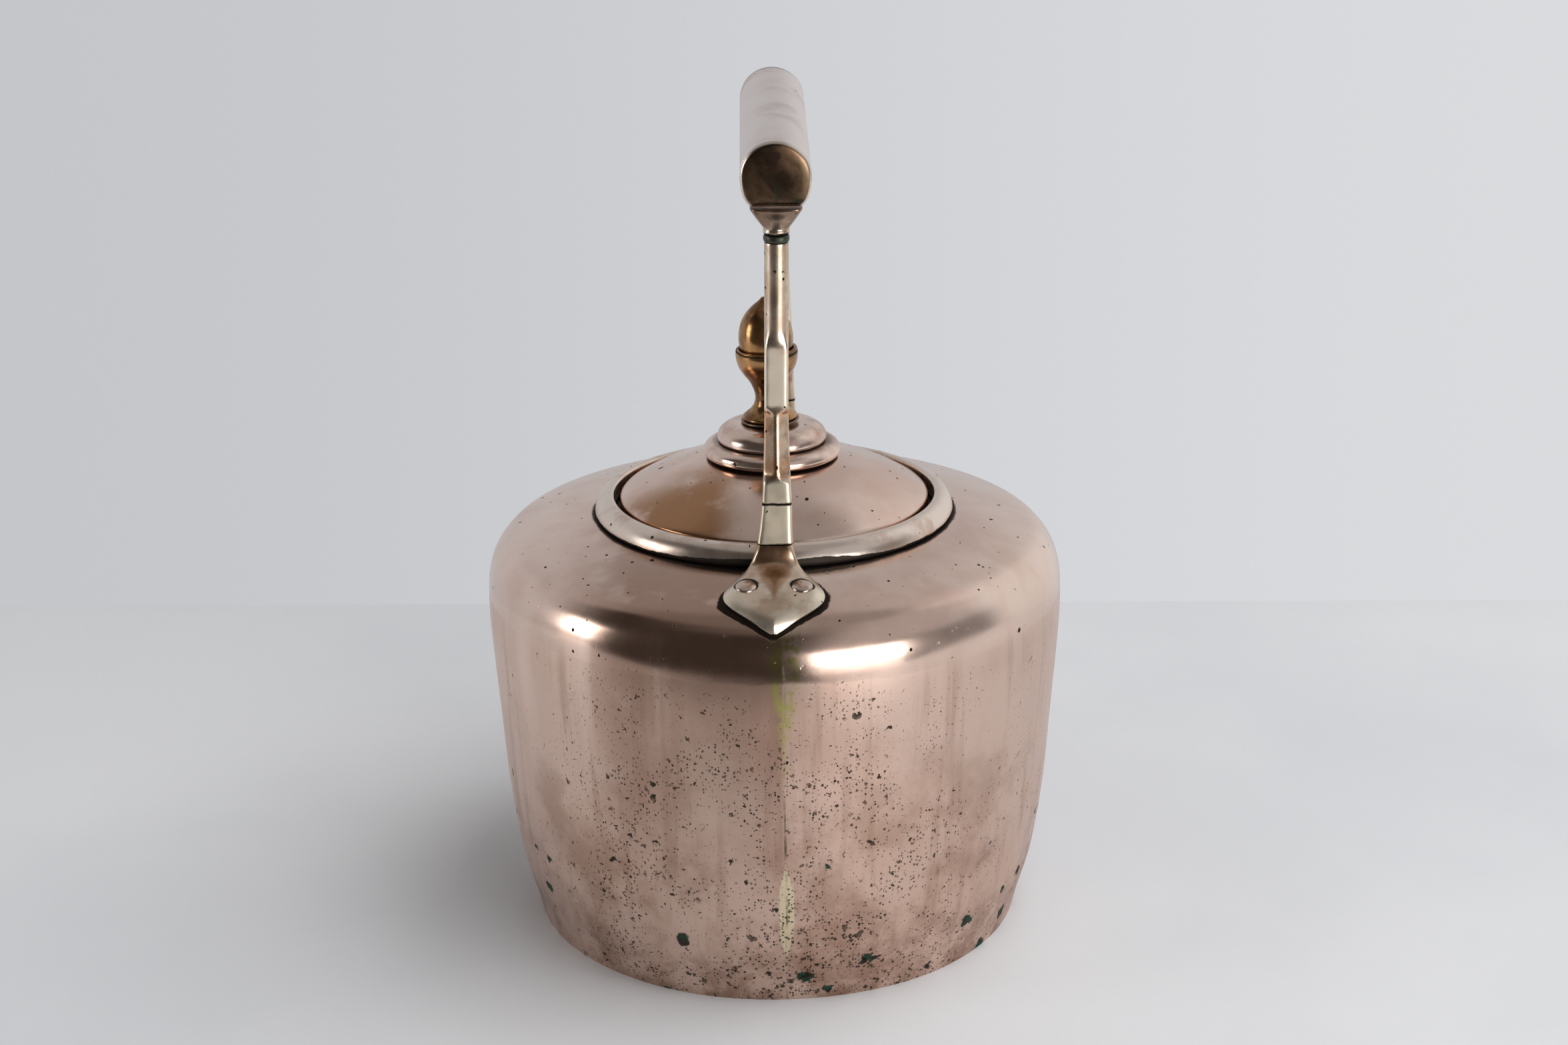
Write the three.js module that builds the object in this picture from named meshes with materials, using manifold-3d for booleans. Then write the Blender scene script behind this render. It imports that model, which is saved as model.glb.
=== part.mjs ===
// Copper kettle with a lift-off lid, an acorn knob, a fixed tube grip and a goose-neck spout.
// Millimetres, +Z up. The origin is the centre of the base. The spout points along +Y.
import * as THREE from 'three';
import { mergeVertices } from 'three/addons/utils/BufferGeometryUtils.js';
import Module from 'manifold-3d';

const wasm = await Module();
wasm.setup();

// ---------- driving dimensions ----------
const GAP = 0.3;              // clearance between neighbouring pieces
const SHEET = 1.5;            // copper sheet of the body
const THIN = 1.2;             // thinner sheet of lid and grip
const AROUND = 48;            // facets round the big shells
const AROUND_SMALL = 24;      // facets round the knob and the grip

const BODY_WALL = [           // outer radius at a height, from the base to the turn of the shoulder
  [90.5, 0], [92.35, 8], [96.9, 25], [100.35, 50], [102.3, 75], [104.0, 100], [104.8, 115], [104.6, 126],
];
const SHOULDER_TURN = { outer: [104.6, 126], corner: [104.4, 139.8], inner: [95.2, 145.3] };
const RING_OUTER = 65.2;      // where the mouth ring meets the shoulder
const RING_INNER = 58.3;
const RING_TOP = 159.2;
const SHOULDER_TOP = 152.0;   // height of the flat seat round the mouth
const SHOULDER_BULGE = 1.0;   // how far the shoulder domes above a straight cone
const MOUTH_RADIUS = 52.3;
const BASE_FLANGE = 9;        // turned-up edge of the base pan

const LID_RADIUS = 56.1;
const LID_EDGE_TOP = 158.6;
const LID_DOME_RADIUS = 103;  // sphere that the lid is beaten to
const LID_SKIRT_RADIUS = 51.6;
const LID_SKIRT_BOTTOM = 144.5;
const LID_SEAT = SHOULDER_TOP + GAP;

const KNOB_LEAN = THREE.MathUtils.degToRad(2.3);  // the knob stands slightly out of true
const KNOB_PIVOT = 172;
const KNOB_OFFSET = -0.5;      // the knob and its steps stand a little to one side of the lid's centre
const STUD_RADIUS = 2.6;

const FOOT_OFFSET = 1.4;      // the handle's feet stand a little to one side of the body's axis
const SHANK_OFFSET = 2.3;     // its uprights lean further to that side
const GRIP_OFFSET = 1.3;      // its grip stands back again
const GRIP_TURN = THREE.MathUtils.degToRad(1.6);  // and is turned slightly about the upright direction
const FOOT_RIVET_SPREAD = 9.45;
const FOOT_RIVET_REACH = 82.5;
const RIVET_HEAD = 3.5;
const RIVET_SHANK = 1.8;
const FOOT_THICKNESS = 2.8;
const GRIP_RADIUS = 11.85;    // upper half of the grip's section
const GRIP_KEEL = 9.9;        // how far the flat underside lies below the grip's centre
const GRIP_KEEL_HALF = 8.4;   // half width of the flat underside
const GRIP_HALF_LENGTH = 58.6;
const GRIP_HEIGHT = 288.7;
const GRIP_RISE = THREE.MathUtils.degToRad(3.1);  // the spout end of the grip is higher
const STEM_RADIUS = 4.1;

const SPOUT_WALL = 1.6;
const SPOUT_COLLAR = { width: 5, thickness: 1.8 };

// ---------- colours ----------
const COPPER = { color: 0xa8705a, roughness: 0.35, metalness: 1 };
const BROWN_COPPER = { color: 0x8a5a44, roughness: 0.45, metalness: 1 };
const BRASS = { color: 0xc0a582, roughness: 0.3, metalness: 1 };
const KNOB_BRASS = { color: 0xa9713f, roughness: 0.3, metalness: 1 };
const DARK_METAL = { color: 0x4a3a2c, roughness: 0.5, metalness: 1 };
const VERDIGRIS = { color: 0x3f4a3c, roughness: 0.7, metalness: 0.6 };

// ---------- solids ----------
function weld(geometry) {
  const bare = geometry.clone();
  for (const name of Object.keys(bare.attributes)) {
    if (name !== 'position') {
      bare.deleteAttribute(name);
    }
  }
  const merged = mergeVertices(bare, 1e-4);
  const position = merged.attributes.position;
  const corner = [new THREE.Vector3(), new THREE.Vector3(), new THREE.Vector3()];
  const kept = [];
  let volume = 0;
  for (let i = 0; i < merged.index.count; i += 3) {
    const face = [0, 1, 2].map((k) => merged.index.getX(i + k));
    if (face[0] === face[1] || face[1] === face[2] || face[2] === face[0]) {
      continue;
    }
    face.forEach((vertex, k) => corner[k].fromBufferAttribute(position, vertex));
    volume += corner[0].dot(corner[1].clone().cross(corner[2]));
    kept.push(face);
  }
  const indices = kept.flatMap(([a, b, c]) => (volume < 0 ? [a, c, b] : [a, b, c]));
  merged.setIndex(indices);
  return merged;
}

function toManifold(geometry) {
  const welded = weld(geometry);
  return new wasm.Manifold(new wasm.Mesh({
    numProp: 3,
    vertProperties: Float32Array.from(welded.attributes.position.array),
    triVerts: Uint32Array.from(welded.index.array),
  }));
}

function fromManifold(solid) {
  const mesh = solid.getMesh();
  const geometry = new THREE.BufferGeometry();
  geometry.setAttribute('position', new THREE.BufferAttribute(Float32Array.from(mesh.vertProperties), 3));
  geometry.setIndex(Array.from(mesh.triVerts));
  return geometry;
}

function subtract(geometry, ...tools) {
  const solid = tools.reduce((rest, tool) => rest.subtract(toManifold(tool)), toManifold(geometry));
  return fromManifold(solid);
}

function unite(...geometries) {
  return fromManifold(geometries.map(toManifold).reduce((sum, next) => sum.add(next)));
}

function intersect(first, second) {
  return fromManifold(toManifold(first).intersect(toManifold(second)));
}

// Turns a closed outline of [radius, height] points round the Z axis.
function turned(outline, facets = AROUND) {
  const onAxis = outline[0][0] === 0;
  const loop = onAxis ? outline : [...outline, outline[0]];
  const points = loop.map(([radius, height]) => new THREE.Vector2(radius, height));
  return new THREE.LatheGeometry(points, facets).rotateX(Math.PI / 2);
}

// A round bar along Z between two heights.
function bar(radius, low, high, facets = 16) {
  return turned([[0, low], [radius, low], [radius, high], [0, high]], facets);
}

// Points of an arc of an ellipse, angles in degrees from the radius direction.
function arc([centreR, centreZ], radiusR, radiusZ, from, to, steps) {
  return Array.from({ length: steps + 1 }, (_, i) => {
    const angle = THREE.MathUtils.degToRad(from + ((to - from) * i) / steps);
    return [centreR + radiusR * Math.cos(angle), centreZ + radiusZ * Math.sin(angle)];
  });
}

// Moves an open outline sideways by a distance, to the left of its direction.
function offsetOutline(outline, distance) {
  return outline.map((point, i) => {
    const before = outline[Math.max(i - 1, 0)];
    const after = outline[Math.min(i + 1, outline.length - 1)];
    const along = new THREE.Vector2(after[0] - before[0], after[1] - before[1]).normalize();
    return [point[0] - along.y * distance, point[1] + along.x * distance];
  });
}

// Skins a row of rings, each an array of Vector3, and closes both ends.
function loft(rings) {
  const count = rings[0].length;
  const points = rings.flat();
  const faces = [];
  for (let row = 0; row < rings.length - 1; row += 1) {
    for (let i = 0; i < count; i += 1) {
      const next = (i + 1) % count;
      const a = row * count + i;
      const b = row * count + next;
      faces.push(a, b, b + count, a, b + count, a + count);
    }
  }
  for (const start of [0, (rings.length - 1) * count]) {
    const centre = points.length;
    const middle = new THREE.Vector3();
    for (let i = 0; i < count; i += 1) {
      middle.addScaledVector(points[start + i], 1 / count);
    }
    points.push(middle);
    for (let i = 0; i < count; i += 1) {
      const next = (i + 1) % count;
      faces.push(...(start === 0 ? [centre, start + next, start + i] : [centre, start + i, start + next]));
    }
  }
  const geometry = new THREE.BufferGeometry();
  geometry.setFromPoints(points);
  geometry.setIndex(faces);
  return geometry;
}

// A ring between a rectangle (high squareness) and an ellipse (squareness 2), in the plane of two axes.
function softRing(centre, sideAxis, deepAxis, halfSide, halfDeep, squareness, count = 16) {
  return Array.from({ length: count }, (_, i) => {
    const angle = ((i + 0.5) / count) * 2 * Math.PI;
    const side = Math.sign(Math.cos(angle)) * Math.abs(Math.cos(angle)) ** (2 / squareness);
    const deep = Math.sign(Math.sin(angle)) * Math.abs(Math.sin(angle)) ** (2 / squareness);
    return centre.clone()
      .addScaledVector(sideAxis, side * halfSide)
      .addScaledVector(deepAxis, deep * halfDeep);
  });
}

// Lofts level sections [reach, height, half width, half depth, squareness] into an upright bar.
function upright(sections) {
  const side = new THREE.Vector3(1, 0, 0);
  const deep = new THREE.Vector3(0, 1, 0);
  return loft(sections.map(([reach, height, halfWidth, halfDepth, squareness]) => (
    softRing(new THREE.Vector3(0, reach, height), side, deep, halfWidth, halfDepth, squareness)
  )));
}

const kettle = new THREE.Group();

function add(name, geometry, finish, parent = kettle) {
  const mesh = new THREE.Mesh(weld(geometry), new THREE.MeshStandardMaterial(finish));
  mesh.name = name;
  parent.add(mesh);
  return mesh;
}

// ---------- body ----------
// Height of the shoulder's outer face at a radius, seat included.
function shoulderHeight(radius) {
  const [turnR, turnZ] = SHOULDER_TURN.inner;
  if (radius <= RING_OUTER) {
    return SHOULDER_TOP;
  }
  const part = (radius - RING_OUTER) / (turnR - RING_OUTER);
  return SHOULDER_TOP + (turnZ - SHOULDER_TOP) * part + SHOULDER_BULGE * 4 * part * (1 - part);
}

function shoulderOutline() {
  const turn = new THREE.QuadraticBezierCurve(
    new THREE.Vector2(...SHOULDER_TURN.outer),
    new THREE.Vector2(...SHOULDER_TURN.corner),
    new THREE.Vector2(...SHOULDER_TURN.inner),
  );
  const turnPoints = turn.getPoints(6).map((point) => [point.x, point.y]);
  const top = [87, 80, 73, RING_OUTER].map((radius) => [radius, shoulderHeight(radius)]);
  return [...turnPoints, ...top, [MOUTH_RADIUS, SHOULDER_TOP]];
}

function shell(outline, thickness) {
  return [...outline, ...offsetOutline(outline, thickness).reverse()];
}

const SPOUT_SECTIONS = [      // reach, height, half width, half height, along the spout's centre line
  [78, 42, 21.5, 29], [97, 43, 20.5, 27], [106.5, 46, 18, 23], [116, 52, 15.3, 18.5], [125, 60, 12.8, 14.8],
  [132.5, 69, 10.9, 12], [138, 81, 9.6, 10.2], [141.8, 93, 8.8, 9.2], [145.8, 104.5, 8.4, 8.6],
  [150.4, 114, 8.3, 8.3], [155, 121, 8.3, 8.3],
];
const SPOUT_HOLE = { height: 46, halfWidth: 14, halfHeight: 21 };

// One ring per spout section, square to the centre line, shrunk by an inset.
function spoutRings(inset, sections = SPOUT_SECTIONS) {
  const side = new THREE.Vector3(1, 0, 0);
  return sections.map(([reach, height, halfWidth, halfHeight], i) => {
    const before = sections[Math.max(i - 1, 0)];
    const after = sections[Math.min(i + 1, sections.length - 1)];
    const along = new THREE.Vector3(0, after[0] - before[0], after[1] - before[1]).normalize();
    const deep = new THREE.Vector3().crossVectors(along, side);
    const centre = new THREE.Vector3(0, reach, height);
    return softRing(centre, side, deep, halfWidth - inset, halfHeight - inset, 2, 16);
  });
}

// Moves the two end rings of a bore outward so that it cuts right through.
function boreRings(inset, overrun) {
  const sections = SPOUT_SECTIONS.map((section) => [...section]);
  const last = sections.length - 1;
  const first = [...sections[0]];
  const end = [...sections[last]];
  first[0] -= overrun;
  first[1] -= (overrun * (sections[1][1] - sections[0][1])) / (sections[1][0] - sections[0][0]);
  end[0] += overrun * 0.7;
  end[1] += overrun * 0.7;
  return spoutRings(inset, [first, ...sections, end]);
}

function bodySolid(outline) {
  return turned(shell(outline, SHEET));
}

function rivetPlace(geometry, side, turn) {
  const slope = (shoulderHeight(FOOT_RIVET_REACH + 1) - shoulderHeight(FOOT_RIVET_REACH - 1)) / 2;
  const tilted = geometry.clone().rotateX(Math.atan(slope));
  tilted.translate(side * FOOT_RIVET_SPREAD, FOOT_RIVET_REACH, shoulderHeight(FOOT_RIVET_REACH));
  return tilted.rotateZ(turn).translate(FOOT_OFFSET, 0, 0);
}

function buildBody() {
  const { height, halfWidth, halfHeight } = SPOUT_HOLE;
  const hole = loft([70, 112].map((reach) => softRing(
    new THREE.Vector3(0, reach, height), new THREE.Vector3(1, 0, 0), new THREE.Vector3(0, 0, 1),
    halfWidth, halfHeight, 2,
  ).reverse()));
  add('body_wall', subtract(bodySolid(BODY_WALL), hole), COPPER);

  const shoulder = shoulderOutline();
  shoulder[0] = [shoulder[0][0], shoulder[0][1] + GAP];
  const holes = [0, Math.PI].flatMap((turn) => [-1, 1].map(
    (side) => rivetPlace(bar(RIVET_SHANK + GAP, -6, 4, 12), side, turn),
  ));
  add('body_shoulder', subtract(bodySolid(shoulder), ...holes), COPPER);

  const inside = BODY_WALL.slice(0, 2).map(([radius, height]) => [radius - SHEET - GAP, height]);
  const rim = inside[0][0] + ((inside[1][0] - inside[0][0]) * BASE_FLANGE) / BODY_WALL[1][1];
  add('base_pan', turned([
    [0, 0], [inside[0][0] - 1, 0], [inside[0][0], 1.2], [rim, BASE_FLANGE],
    [rim - SHEET, BASE_FLANGE], [inside[0][0] - SHEET, 2.4], [inside[0][0] - SHEET - 1, SHEET], [0, SHEET],
  ]), BROWN_COPPER);

  const ringFoot = SHOULDER_TOP + GAP;
  const crown = arc([RING_INNER + 1.2, ringFoot], RING_OUTER - RING_INNER - 1.2, RING_TOP - ringFoot, 8, 90, 7);
  add('mouth_ring', turned([
    [RING_INNER, ringFoot], [RING_OUTER - 0.4, ringFoot], ...crown, [RING_INNER, RING_TOP - 0.9],
  ]), BRASS);
}

// ---------- lid ----------
function lidHeight(radius) {
  const centre = LID_EDGE_TOP - Math.sqrt(LID_DOME_RADIUS ** 2 - LID_RADIUS ** 2);
  return centre + Math.sqrt(LID_DOME_RADIUS ** 2 - radius ** 2);
}

function buildLid() {
  const lid = new THREE.Group();
  kettle.add(lid);
  const studHole = STUD_RADIUS + 0.6;
  const top = [studHole, 12, 22, 32, 41, 48, 52.6].map((radius) => [radius, lidHeight(radius)]);
  add('lid_dome', turned([
    ...top, [54.9, lidHeight(54.9)], [LID_RADIUS - 0.2, LID_EDGE_TOP - 0.4], [LID_RADIUS, LID_EDGE_TOP - 1.2],
    [LID_RADIUS, LID_SEAT], [LID_RADIUS - THIN, LID_SEAT], [LID_RADIUS - THIN, LID_EDGE_TOP - 2],
    ...top.map(([radius, height]) => [radius, height - THIN]).reverse(),
  ]), COPPER, lid);

  const skirtTop = lidHeight(LID_SKIRT_RADIUS) - THIN * 1.3 - GAP;
  add('lid_skirt', turned([
    [LID_SKIRT_RADIUS - THIN, LID_SKIRT_BOTTOM], [LID_SKIRT_RADIUS, LID_SKIRT_BOTTOM],
    [LID_SKIRT_RADIUS, skirtTop], [LID_SKIRT_RADIUS - THIN, skirtTop],
  ]), BROWN_COPPER, lid);

  const finial = new THREE.Group();
  finial.position.x = KNOB_OFFSET;
  lid.add(finial);
  const stepHole = STUD_RADIUS + 1;
  const seat = (radius) => lidHeight(radius) + 0.5;
  const stepTop = 184.9;
  add('finial_step_lower', turned([
    [stepHole, seat(stepHole)], [12, seat(12)], [23.6, 173.4], [24.5, 173.8], [24.7, 174.8], [24.3, 176.3],
    [23.1, 177.5], [21.3, 178.1], [stepHole, 178.1],
  ], AROUND_SMALL), COPPER, finial);
  add('finial_step_upper', turned([
    [stepHole, 178.4], [19.0, 178.4], [19.6, 179.3], [19.4, 180.9], [18.3, 182.6], [16.4, 183.9],
    [13.8, 184.7], [11.4, stepTop], [stepHole, stepTop],
  ], AROUND_SMALL), COPPER, finial);

  const knob = new THREE.Group();
  knob.position.z = KNOB_PIVOT;
  knob.rotation.y = -KNOB_LEAN;
  finial.add(knob);
  const turnedOnKnob = (name, outline, finish) => {
    add(name, turned(outline.map(([radius, height]) => [radius, height - KNOB_PIVOT]), AROUND_SMALL), finish, knob);
  };
  const hole = STUD_RADIUS + GAP;
  turnedOnKnob('knob_ring', [
    [hole, 185.65], [10.2, 185.65], [10.5, 186.0], [10.2, 186.4], [hole, 186.4],
  ], DARK_METAL);
  const boreTop = 196;
  const cupRim = 212.5;
  turnedOnKnob('acorn_stem', [
    [hole, 186.7], [9.6, 186.7], [9.9, 187.3], [8.9, 188.4], [7.0, 189.9], [5.6, 191.9], [4.95, 194.0],
    [5.2, 196.4], [6.0, 198.7], [7.2, 201.1], [9.2, 203.7], [10.7, 206.7], [11.2, 209.9], [11.1, 212.0],
    [10.6, cupRim], [9.6, cupRim], [9.2, 210.7], [0, 210.7], [0, boreTop], [hole, boreTop],
  ], KNOB_BRASS);
  turnedOnKnob('acorn_nut', [
    [0, 211.0], [8.9, 211.0], [9.3, 212.7], [9.8, 214.5], [9.7, 217.3], [9.0, 220.7], [7.7, 223.7],
    [5.8, 226.2], [3.8, 228.0], [2.6, 229.1], [1.6, 230.2], [0.7, 230.9], [0, 231.1],
  ], KNOB_BRASS);
  const nutTop = lidHeight(6) - THIN - 2.2;
  turnedOnKnob('knob_washer', [
    [hole, nutTop - 1.2], [8, nutTop - 1.2], [8, nutTop], [hole, nutTop],
  ], BRASS);
  const hexagon = bar(5.4, nutTop - 5.5 - KNOB_PIVOT, nutTop - 1.5 - KNOB_PIVOT, 6);
  add('knob_nut', subtract(hexagon, bar(hole, -40, 0)), BRASS, knob);
  add('knob_stud', bar(STUD_RADIUS, nutTop - 7 - KNOB_PIVOT, boreTop - 1 - KNOB_PIVOT, 16), BRASS, knob);
}

// ---------- handle ----------
function footOutline() {
  const shape = new THREE.Shape();
  shape.moveTo(-8.4, 66.6);
  shape.quadraticCurveTo(-9.6, 71.0, -14.7, 78.5);
  shape.quadraticCurveTo(-16.9, 82.0, -17.1, 85.4);
  shape.quadraticCurveTo(-17.1, 87.8, -14.7, 89.7);
  shape.quadraticCurveTo(-9.4, 95.8, 0, 99.8);
  shape.quadraticCurveTo(9.4, 95.8, 14.7, 89.7);
  shape.quadraticCurveTo(17.1, 87.8, 17.1, 85.4);
  shape.quadraticCurveTo(16.9, 82.0, 14.7, 78.5);
  shape.quadraticCurveTo(9.6, 71.0, 8.4, 66.6);
  return shape;
}

// The riveted foot: a shield-shaped plate that follows the shoulder, and the neck that grows from it.
function footSolid() {
  const skin = shoulderOutline();
  const low = offsetOutline(skin, -GAP);
  const high = offsetOutline(skin, -GAP - FOOT_THICKNESS);
  const layer = turned([...high, ...[...low].reverse()], 96);
  const prism = new THREE.ExtrudeGeometry(footOutline(), { depth: 40, bevelEnabled: false, curveSegments: 4 });
  prism.translate(0, 0, 125);
  const plate = intersect(layer, prism);
  const neck = upright([
    [72.5, 153.0, 8.6, 5.2, 3], [69.8, 155.2, 8.0, 4.2, 3], [67.6, 157.8, 7.0, 3.7, 3.4],
    [65.6, 160.7, 6.2, 3.8, 4], [65.1, 161.6, 6.1, 3.8, 4],
  ]);
  const ringSpace = turned([
    [RING_INNER, 140], [RING_OUTER + GAP, 140], [RING_OUTER + GAP, SHOULDER_TOP + 1.6], [64.2, 157.1],
    [62, 159.0], [RING_INNER, RING_TOP + 0.6],
  ]);
  const bodySpace = turned([[0, low[0][1]], ...low, [0, low.at(-1)[1]]], 96);
  return subtract(unite(plate, neck), ringSpace, bodySpace);
}

const STEM_SECTIONS = [       // reach, height, half width, half depth, squareness
  [62.7, 175.7, 5.05, 3.9, 5], [61.6, 182, 4.7, 3.8, 5], [60.6, 190, 4.4, 3.7, 3.2],
  [59.4, 200, 4.15, 3.6, 3.2], [58.4, 209, 4.05, 3.6, 5], [57.2, 220, 4.05, 3.7, 5],
  [56.3, 229, 4.05, 3.9, 4], [55.8, 233, STEM_RADIUS, STEM_RADIUS, 2],
  [55.5, 240, STEM_RADIUS, STEM_RADIUS, 2], [55.5, 263.6, STEM_RADIUS, STEM_RADIUS, 2],
];
const COLLAR = { reach: 55.5, low: 263.9, high: 266.1, radius: 4.35 };

function gripFrame(geometry) {
  return geometry.rotateX(GRIP_RISE).translate(0, 0, GRIP_HEIGHT);
}

// A bar with the grip's section, round above and flat below, between two places along Y.
function gripBar(inset, from, to) {
  const radius = GRIP_RADIUS - inset;
  const keel = GRIP_KEEL - inset;
  const keelHalf = GRIP_KEEL_HALF - inset * 0.7;
  const section = new THREE.Shape();
  section.moveTo(-keelHalf, -keel);
  section.lineTo(keelHalf, -keel);
  section.quadraticCurveTo(radius, -keel * 0.75, radius, 0);
  section.absarc(0, 0, radius, 0, Math.PI);
  section.quadraticCurveTo(-radius, -keel * 0.75, -keelHalf, -keel);
  const solid = new THREE.ExtrudeGeometry(section, { depth: to - from, bevelEnabled: false, curveSegments: 6 });
  return gripFrame(solid.rotateX(Math.PI / 2).translate(0, to, 0));
}

// The flared saddle between a collar and the flat underside of the grip.
function saddleSolid(lift) {
  const top = GRIP_HEIGHT - GRIP_KEEL - GAP - Math.tan(GRIP_RISE) * 61 + lift;
  return upright([
    [55.5, COLLAR.high + GAP + lift, 4.1, 4.1, 2], [55.5, 268.4 + lift, 4.4, 4.2, 2],
    [55.4, 270.3 + lift, 5.8, 4.5, 2], [55.3, 271.9 + lift, 7.0, 4.8, 2.3],
    [55.2, 273.7 + lift, 8.2, 5.1, 2.8], [55.2, top, 8.7, 5.2, 3],
  ]);
}

// Moves a piece of the handle sideways to where the slightly sprung handle really stands.
function settled(geometry) {
  const position = geometry.attributes.position;
  for (let i = 0; i < position.count; i += 1) {
    const [y, z] = [position.getY(i), position.getZ(i)];
    const shank = THREE.MathUtils.smoothstep(z, 155, 178);
    const grip = THREE.MathUtils.smoothstep(z, 200, 268);
    const shift = FOOT_OFFSET + shank * (SHANK_OFFSET - FOOT_OFFSET)
      + grip * (GRIP_OFFSET - SHANK_OFFSET - Math.tan(GRIP_TURN) * y);
    position.setX(i, position.getX(i) + shift);
  }
  return geometry;
}

function buildSupport(label, direction) {
  const turn = direction > 0 ? 0 : Math.PI;
  const place = (geometry) => settled(geometry.rotateZ(turn));
  const lift = direction > 0 ? 2 * Math.tan(GRIP_RISE) * COLLAR.reach : 0;

  const rivetHoles = [-1, 1].map((side) => rivetPlace(bar(RIVET_SHANK + GAP, -6, 12, 12), side, 0)
    .translate(-FOOT_OFFSET, 0, 0));
  add(`${label}_foot`, place(subtract(footSolid(), ...rivetHoles)), BRASS);
  add(`${label}_ferrule`, place(upright([
    [65.0, 161.9, 6.05, 4.0, 5], [63.8, 168.4, 5.4, 3.95, 5], [62.8, 175.4, 5.1, 3.9, 5],
  ])), BRASS);
  const stem = STEM_SECTIONS.map((section) => [...section]);
  stem.at(-1)[1] += lift;
  add(`${label}_stem`, place(upright(stem)), BRASS);

  const collarLow = COLLAR.low + lift;
  const collarHigh = COLLAR.high + lift;
  const belly = (collarLow + collarHigh) / 2;
  add(`${label}_collar`, place(turned([
    [0, collarLow], [STEM_RADIUS, collarLow], [COLLAR.radius, belly - 0.4], [COLLAR.radius, belly + 0.4],
    [STEM_RADIUS, collarHigh], [0, collarHigh],
  ], AROUND_SMALL).translate(0, COLLAR.reach, 0)), VERDIGRIS);
  add(`${label}_saddle`, place(saddleSolid(lift)), BRASS);

  const rivetTop = GAP + FOOT_THICKNESS + GAP;
  const under = -SHEET - 2 * GAP;
  for (const side of [-1, 1]) {
    const hand = side * direction > 0 ? 'right' : 'left';
    const rivet = turned([
      [0, under - 2.6], [2.6, under - 2.6], [3.0, under - 1.6], [RIVET_SHANK, under - 1.5],
      [RIVET_SHANK, rivetTop], [RIVET_HEAD, rivetTop], [3.3, rivetTop + 0.7], [2.4, rivetTop + 1.3],
      [1.2, rivetTop + 1.6], [0, rivetTop + 1.7],
    ], 16);
    add(`${label}_rivet_${hand}`, rivetPlace(rivet, side, turn), COPPER);
    const burr = turned([
      [RIVET_SHANK + GAP, under - 1.2], [4.2, under - 1.2], [4.2, under], [RIVET_SHANK + GAP, under],
    ], 16);
    add(`${label}_burr_${hand}`, rivetPlace(burr, side, turn), COPPER);
  }
}

// The hollow grip, and at each end a cap that closes it and plugs into it.
function buildGrip() {
  const tubeEnd = GRIP_HALF_LENGTH - 1.6;
  const capInside = GRIP_HALF_LENGTH - 1.3;
  const plugEnd = GRIP_HALF_LENGTH - 5;
  const bore = gripBar(THIN, -GRIP_HALF_LENGTH, GRIP_HALF_LENGTH);
  add('grip_tube', settled(subtract(gripBar(0, -tubeEnd, tubeEnd), bore)), COPPER);
  for (const [label, direction] of [['rear', -1], ['front', 1]]) {
    const ends = (near, far) => [near * direction, far * direction].sort((a, b) => a - b);
    const disc = gripBar(0, ...ends(capInside, GRIP_HALF_LENGTH));
    const plug = gripBar(THIN + GAP, ...ends(plugEnd, GRIP_HALF_LENGTH));
    add(`${label}_end_cap`, settled(unite(disc, plug)), DARK_METAL);
  }
}

// ---------- spout ----------
function buildSpout() {
  const wallSpace = turned([
    [0, -5], ...BODY_WALL.map(([radius, height]) => [radius + GAP, height]), [0, 126],
  ]);
  const tube = subtract(loft(spoutRings(0)), loft(boreRings(SPOUT_WALL, 12)), wallSpace);
  add('spout_tube', tube, COPPER);

  const wallSkin = BODY_WALL.slice(0, 5);
  const band = turned([
    ...offsetOutline(wallSkin, -GAP - SPOUT_COLLAR.thickness), ...offsetOutline(wallSkin, -GAP).reverse(),
  ]);
  const spread = loft(spoutRings(-SPOUT_COLLAR.width, SPOUT_SECTIONS.slice(0, 3)));
  const clearance = loft(spoutRings(-GAP));
  add('spout_collar', subtract(intersect(band, spread), clearance), COPPER);

  const tip = SPOUT_SECTIONS.at(-1);
  const beforeTip = SPOUT_SECTIONS.at(-2);
  const along = new THREE.Vector2(tip[0] - beforeTip[0], tip[1] - beforeTip[1]).normalize();
  const lip = turned([
    [6.7, GAP], [8.3, GAP], [9.3, 0.9], [9.5, 1.7], [9.1, 2.5], [7.9, 2.9], [6.7, 2.5],
  ], AROUND_SMALL);
  lip.rotateX(-Math.atan2(along.x, along.y)).translate(0, tip[0], tip[1]);
  add('spout_lip', lip, BRASS);
}

buildBody();
buildLid();
buildSupport('rear', -1);
buildSupport('front', 1);
buildGrip();
buildSpout();

export default kettle;
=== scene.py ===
"""Copper kettle: finished surfaces, materials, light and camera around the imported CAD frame."""

import math

import bpy
from mathutils import Matrix, Vector, noise


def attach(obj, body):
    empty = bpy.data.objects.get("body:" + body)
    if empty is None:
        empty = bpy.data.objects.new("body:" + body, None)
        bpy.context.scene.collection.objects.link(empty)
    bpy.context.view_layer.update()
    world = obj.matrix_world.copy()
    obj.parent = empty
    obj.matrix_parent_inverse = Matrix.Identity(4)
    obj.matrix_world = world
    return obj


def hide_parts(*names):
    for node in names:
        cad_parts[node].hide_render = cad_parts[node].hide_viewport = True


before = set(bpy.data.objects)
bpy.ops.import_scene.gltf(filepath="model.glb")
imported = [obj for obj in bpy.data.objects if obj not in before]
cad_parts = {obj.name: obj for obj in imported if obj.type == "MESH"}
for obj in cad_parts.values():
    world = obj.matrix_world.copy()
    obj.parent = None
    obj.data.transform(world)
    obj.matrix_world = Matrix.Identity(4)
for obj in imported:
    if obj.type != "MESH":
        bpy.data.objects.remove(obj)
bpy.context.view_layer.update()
MM = 0.001

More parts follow.
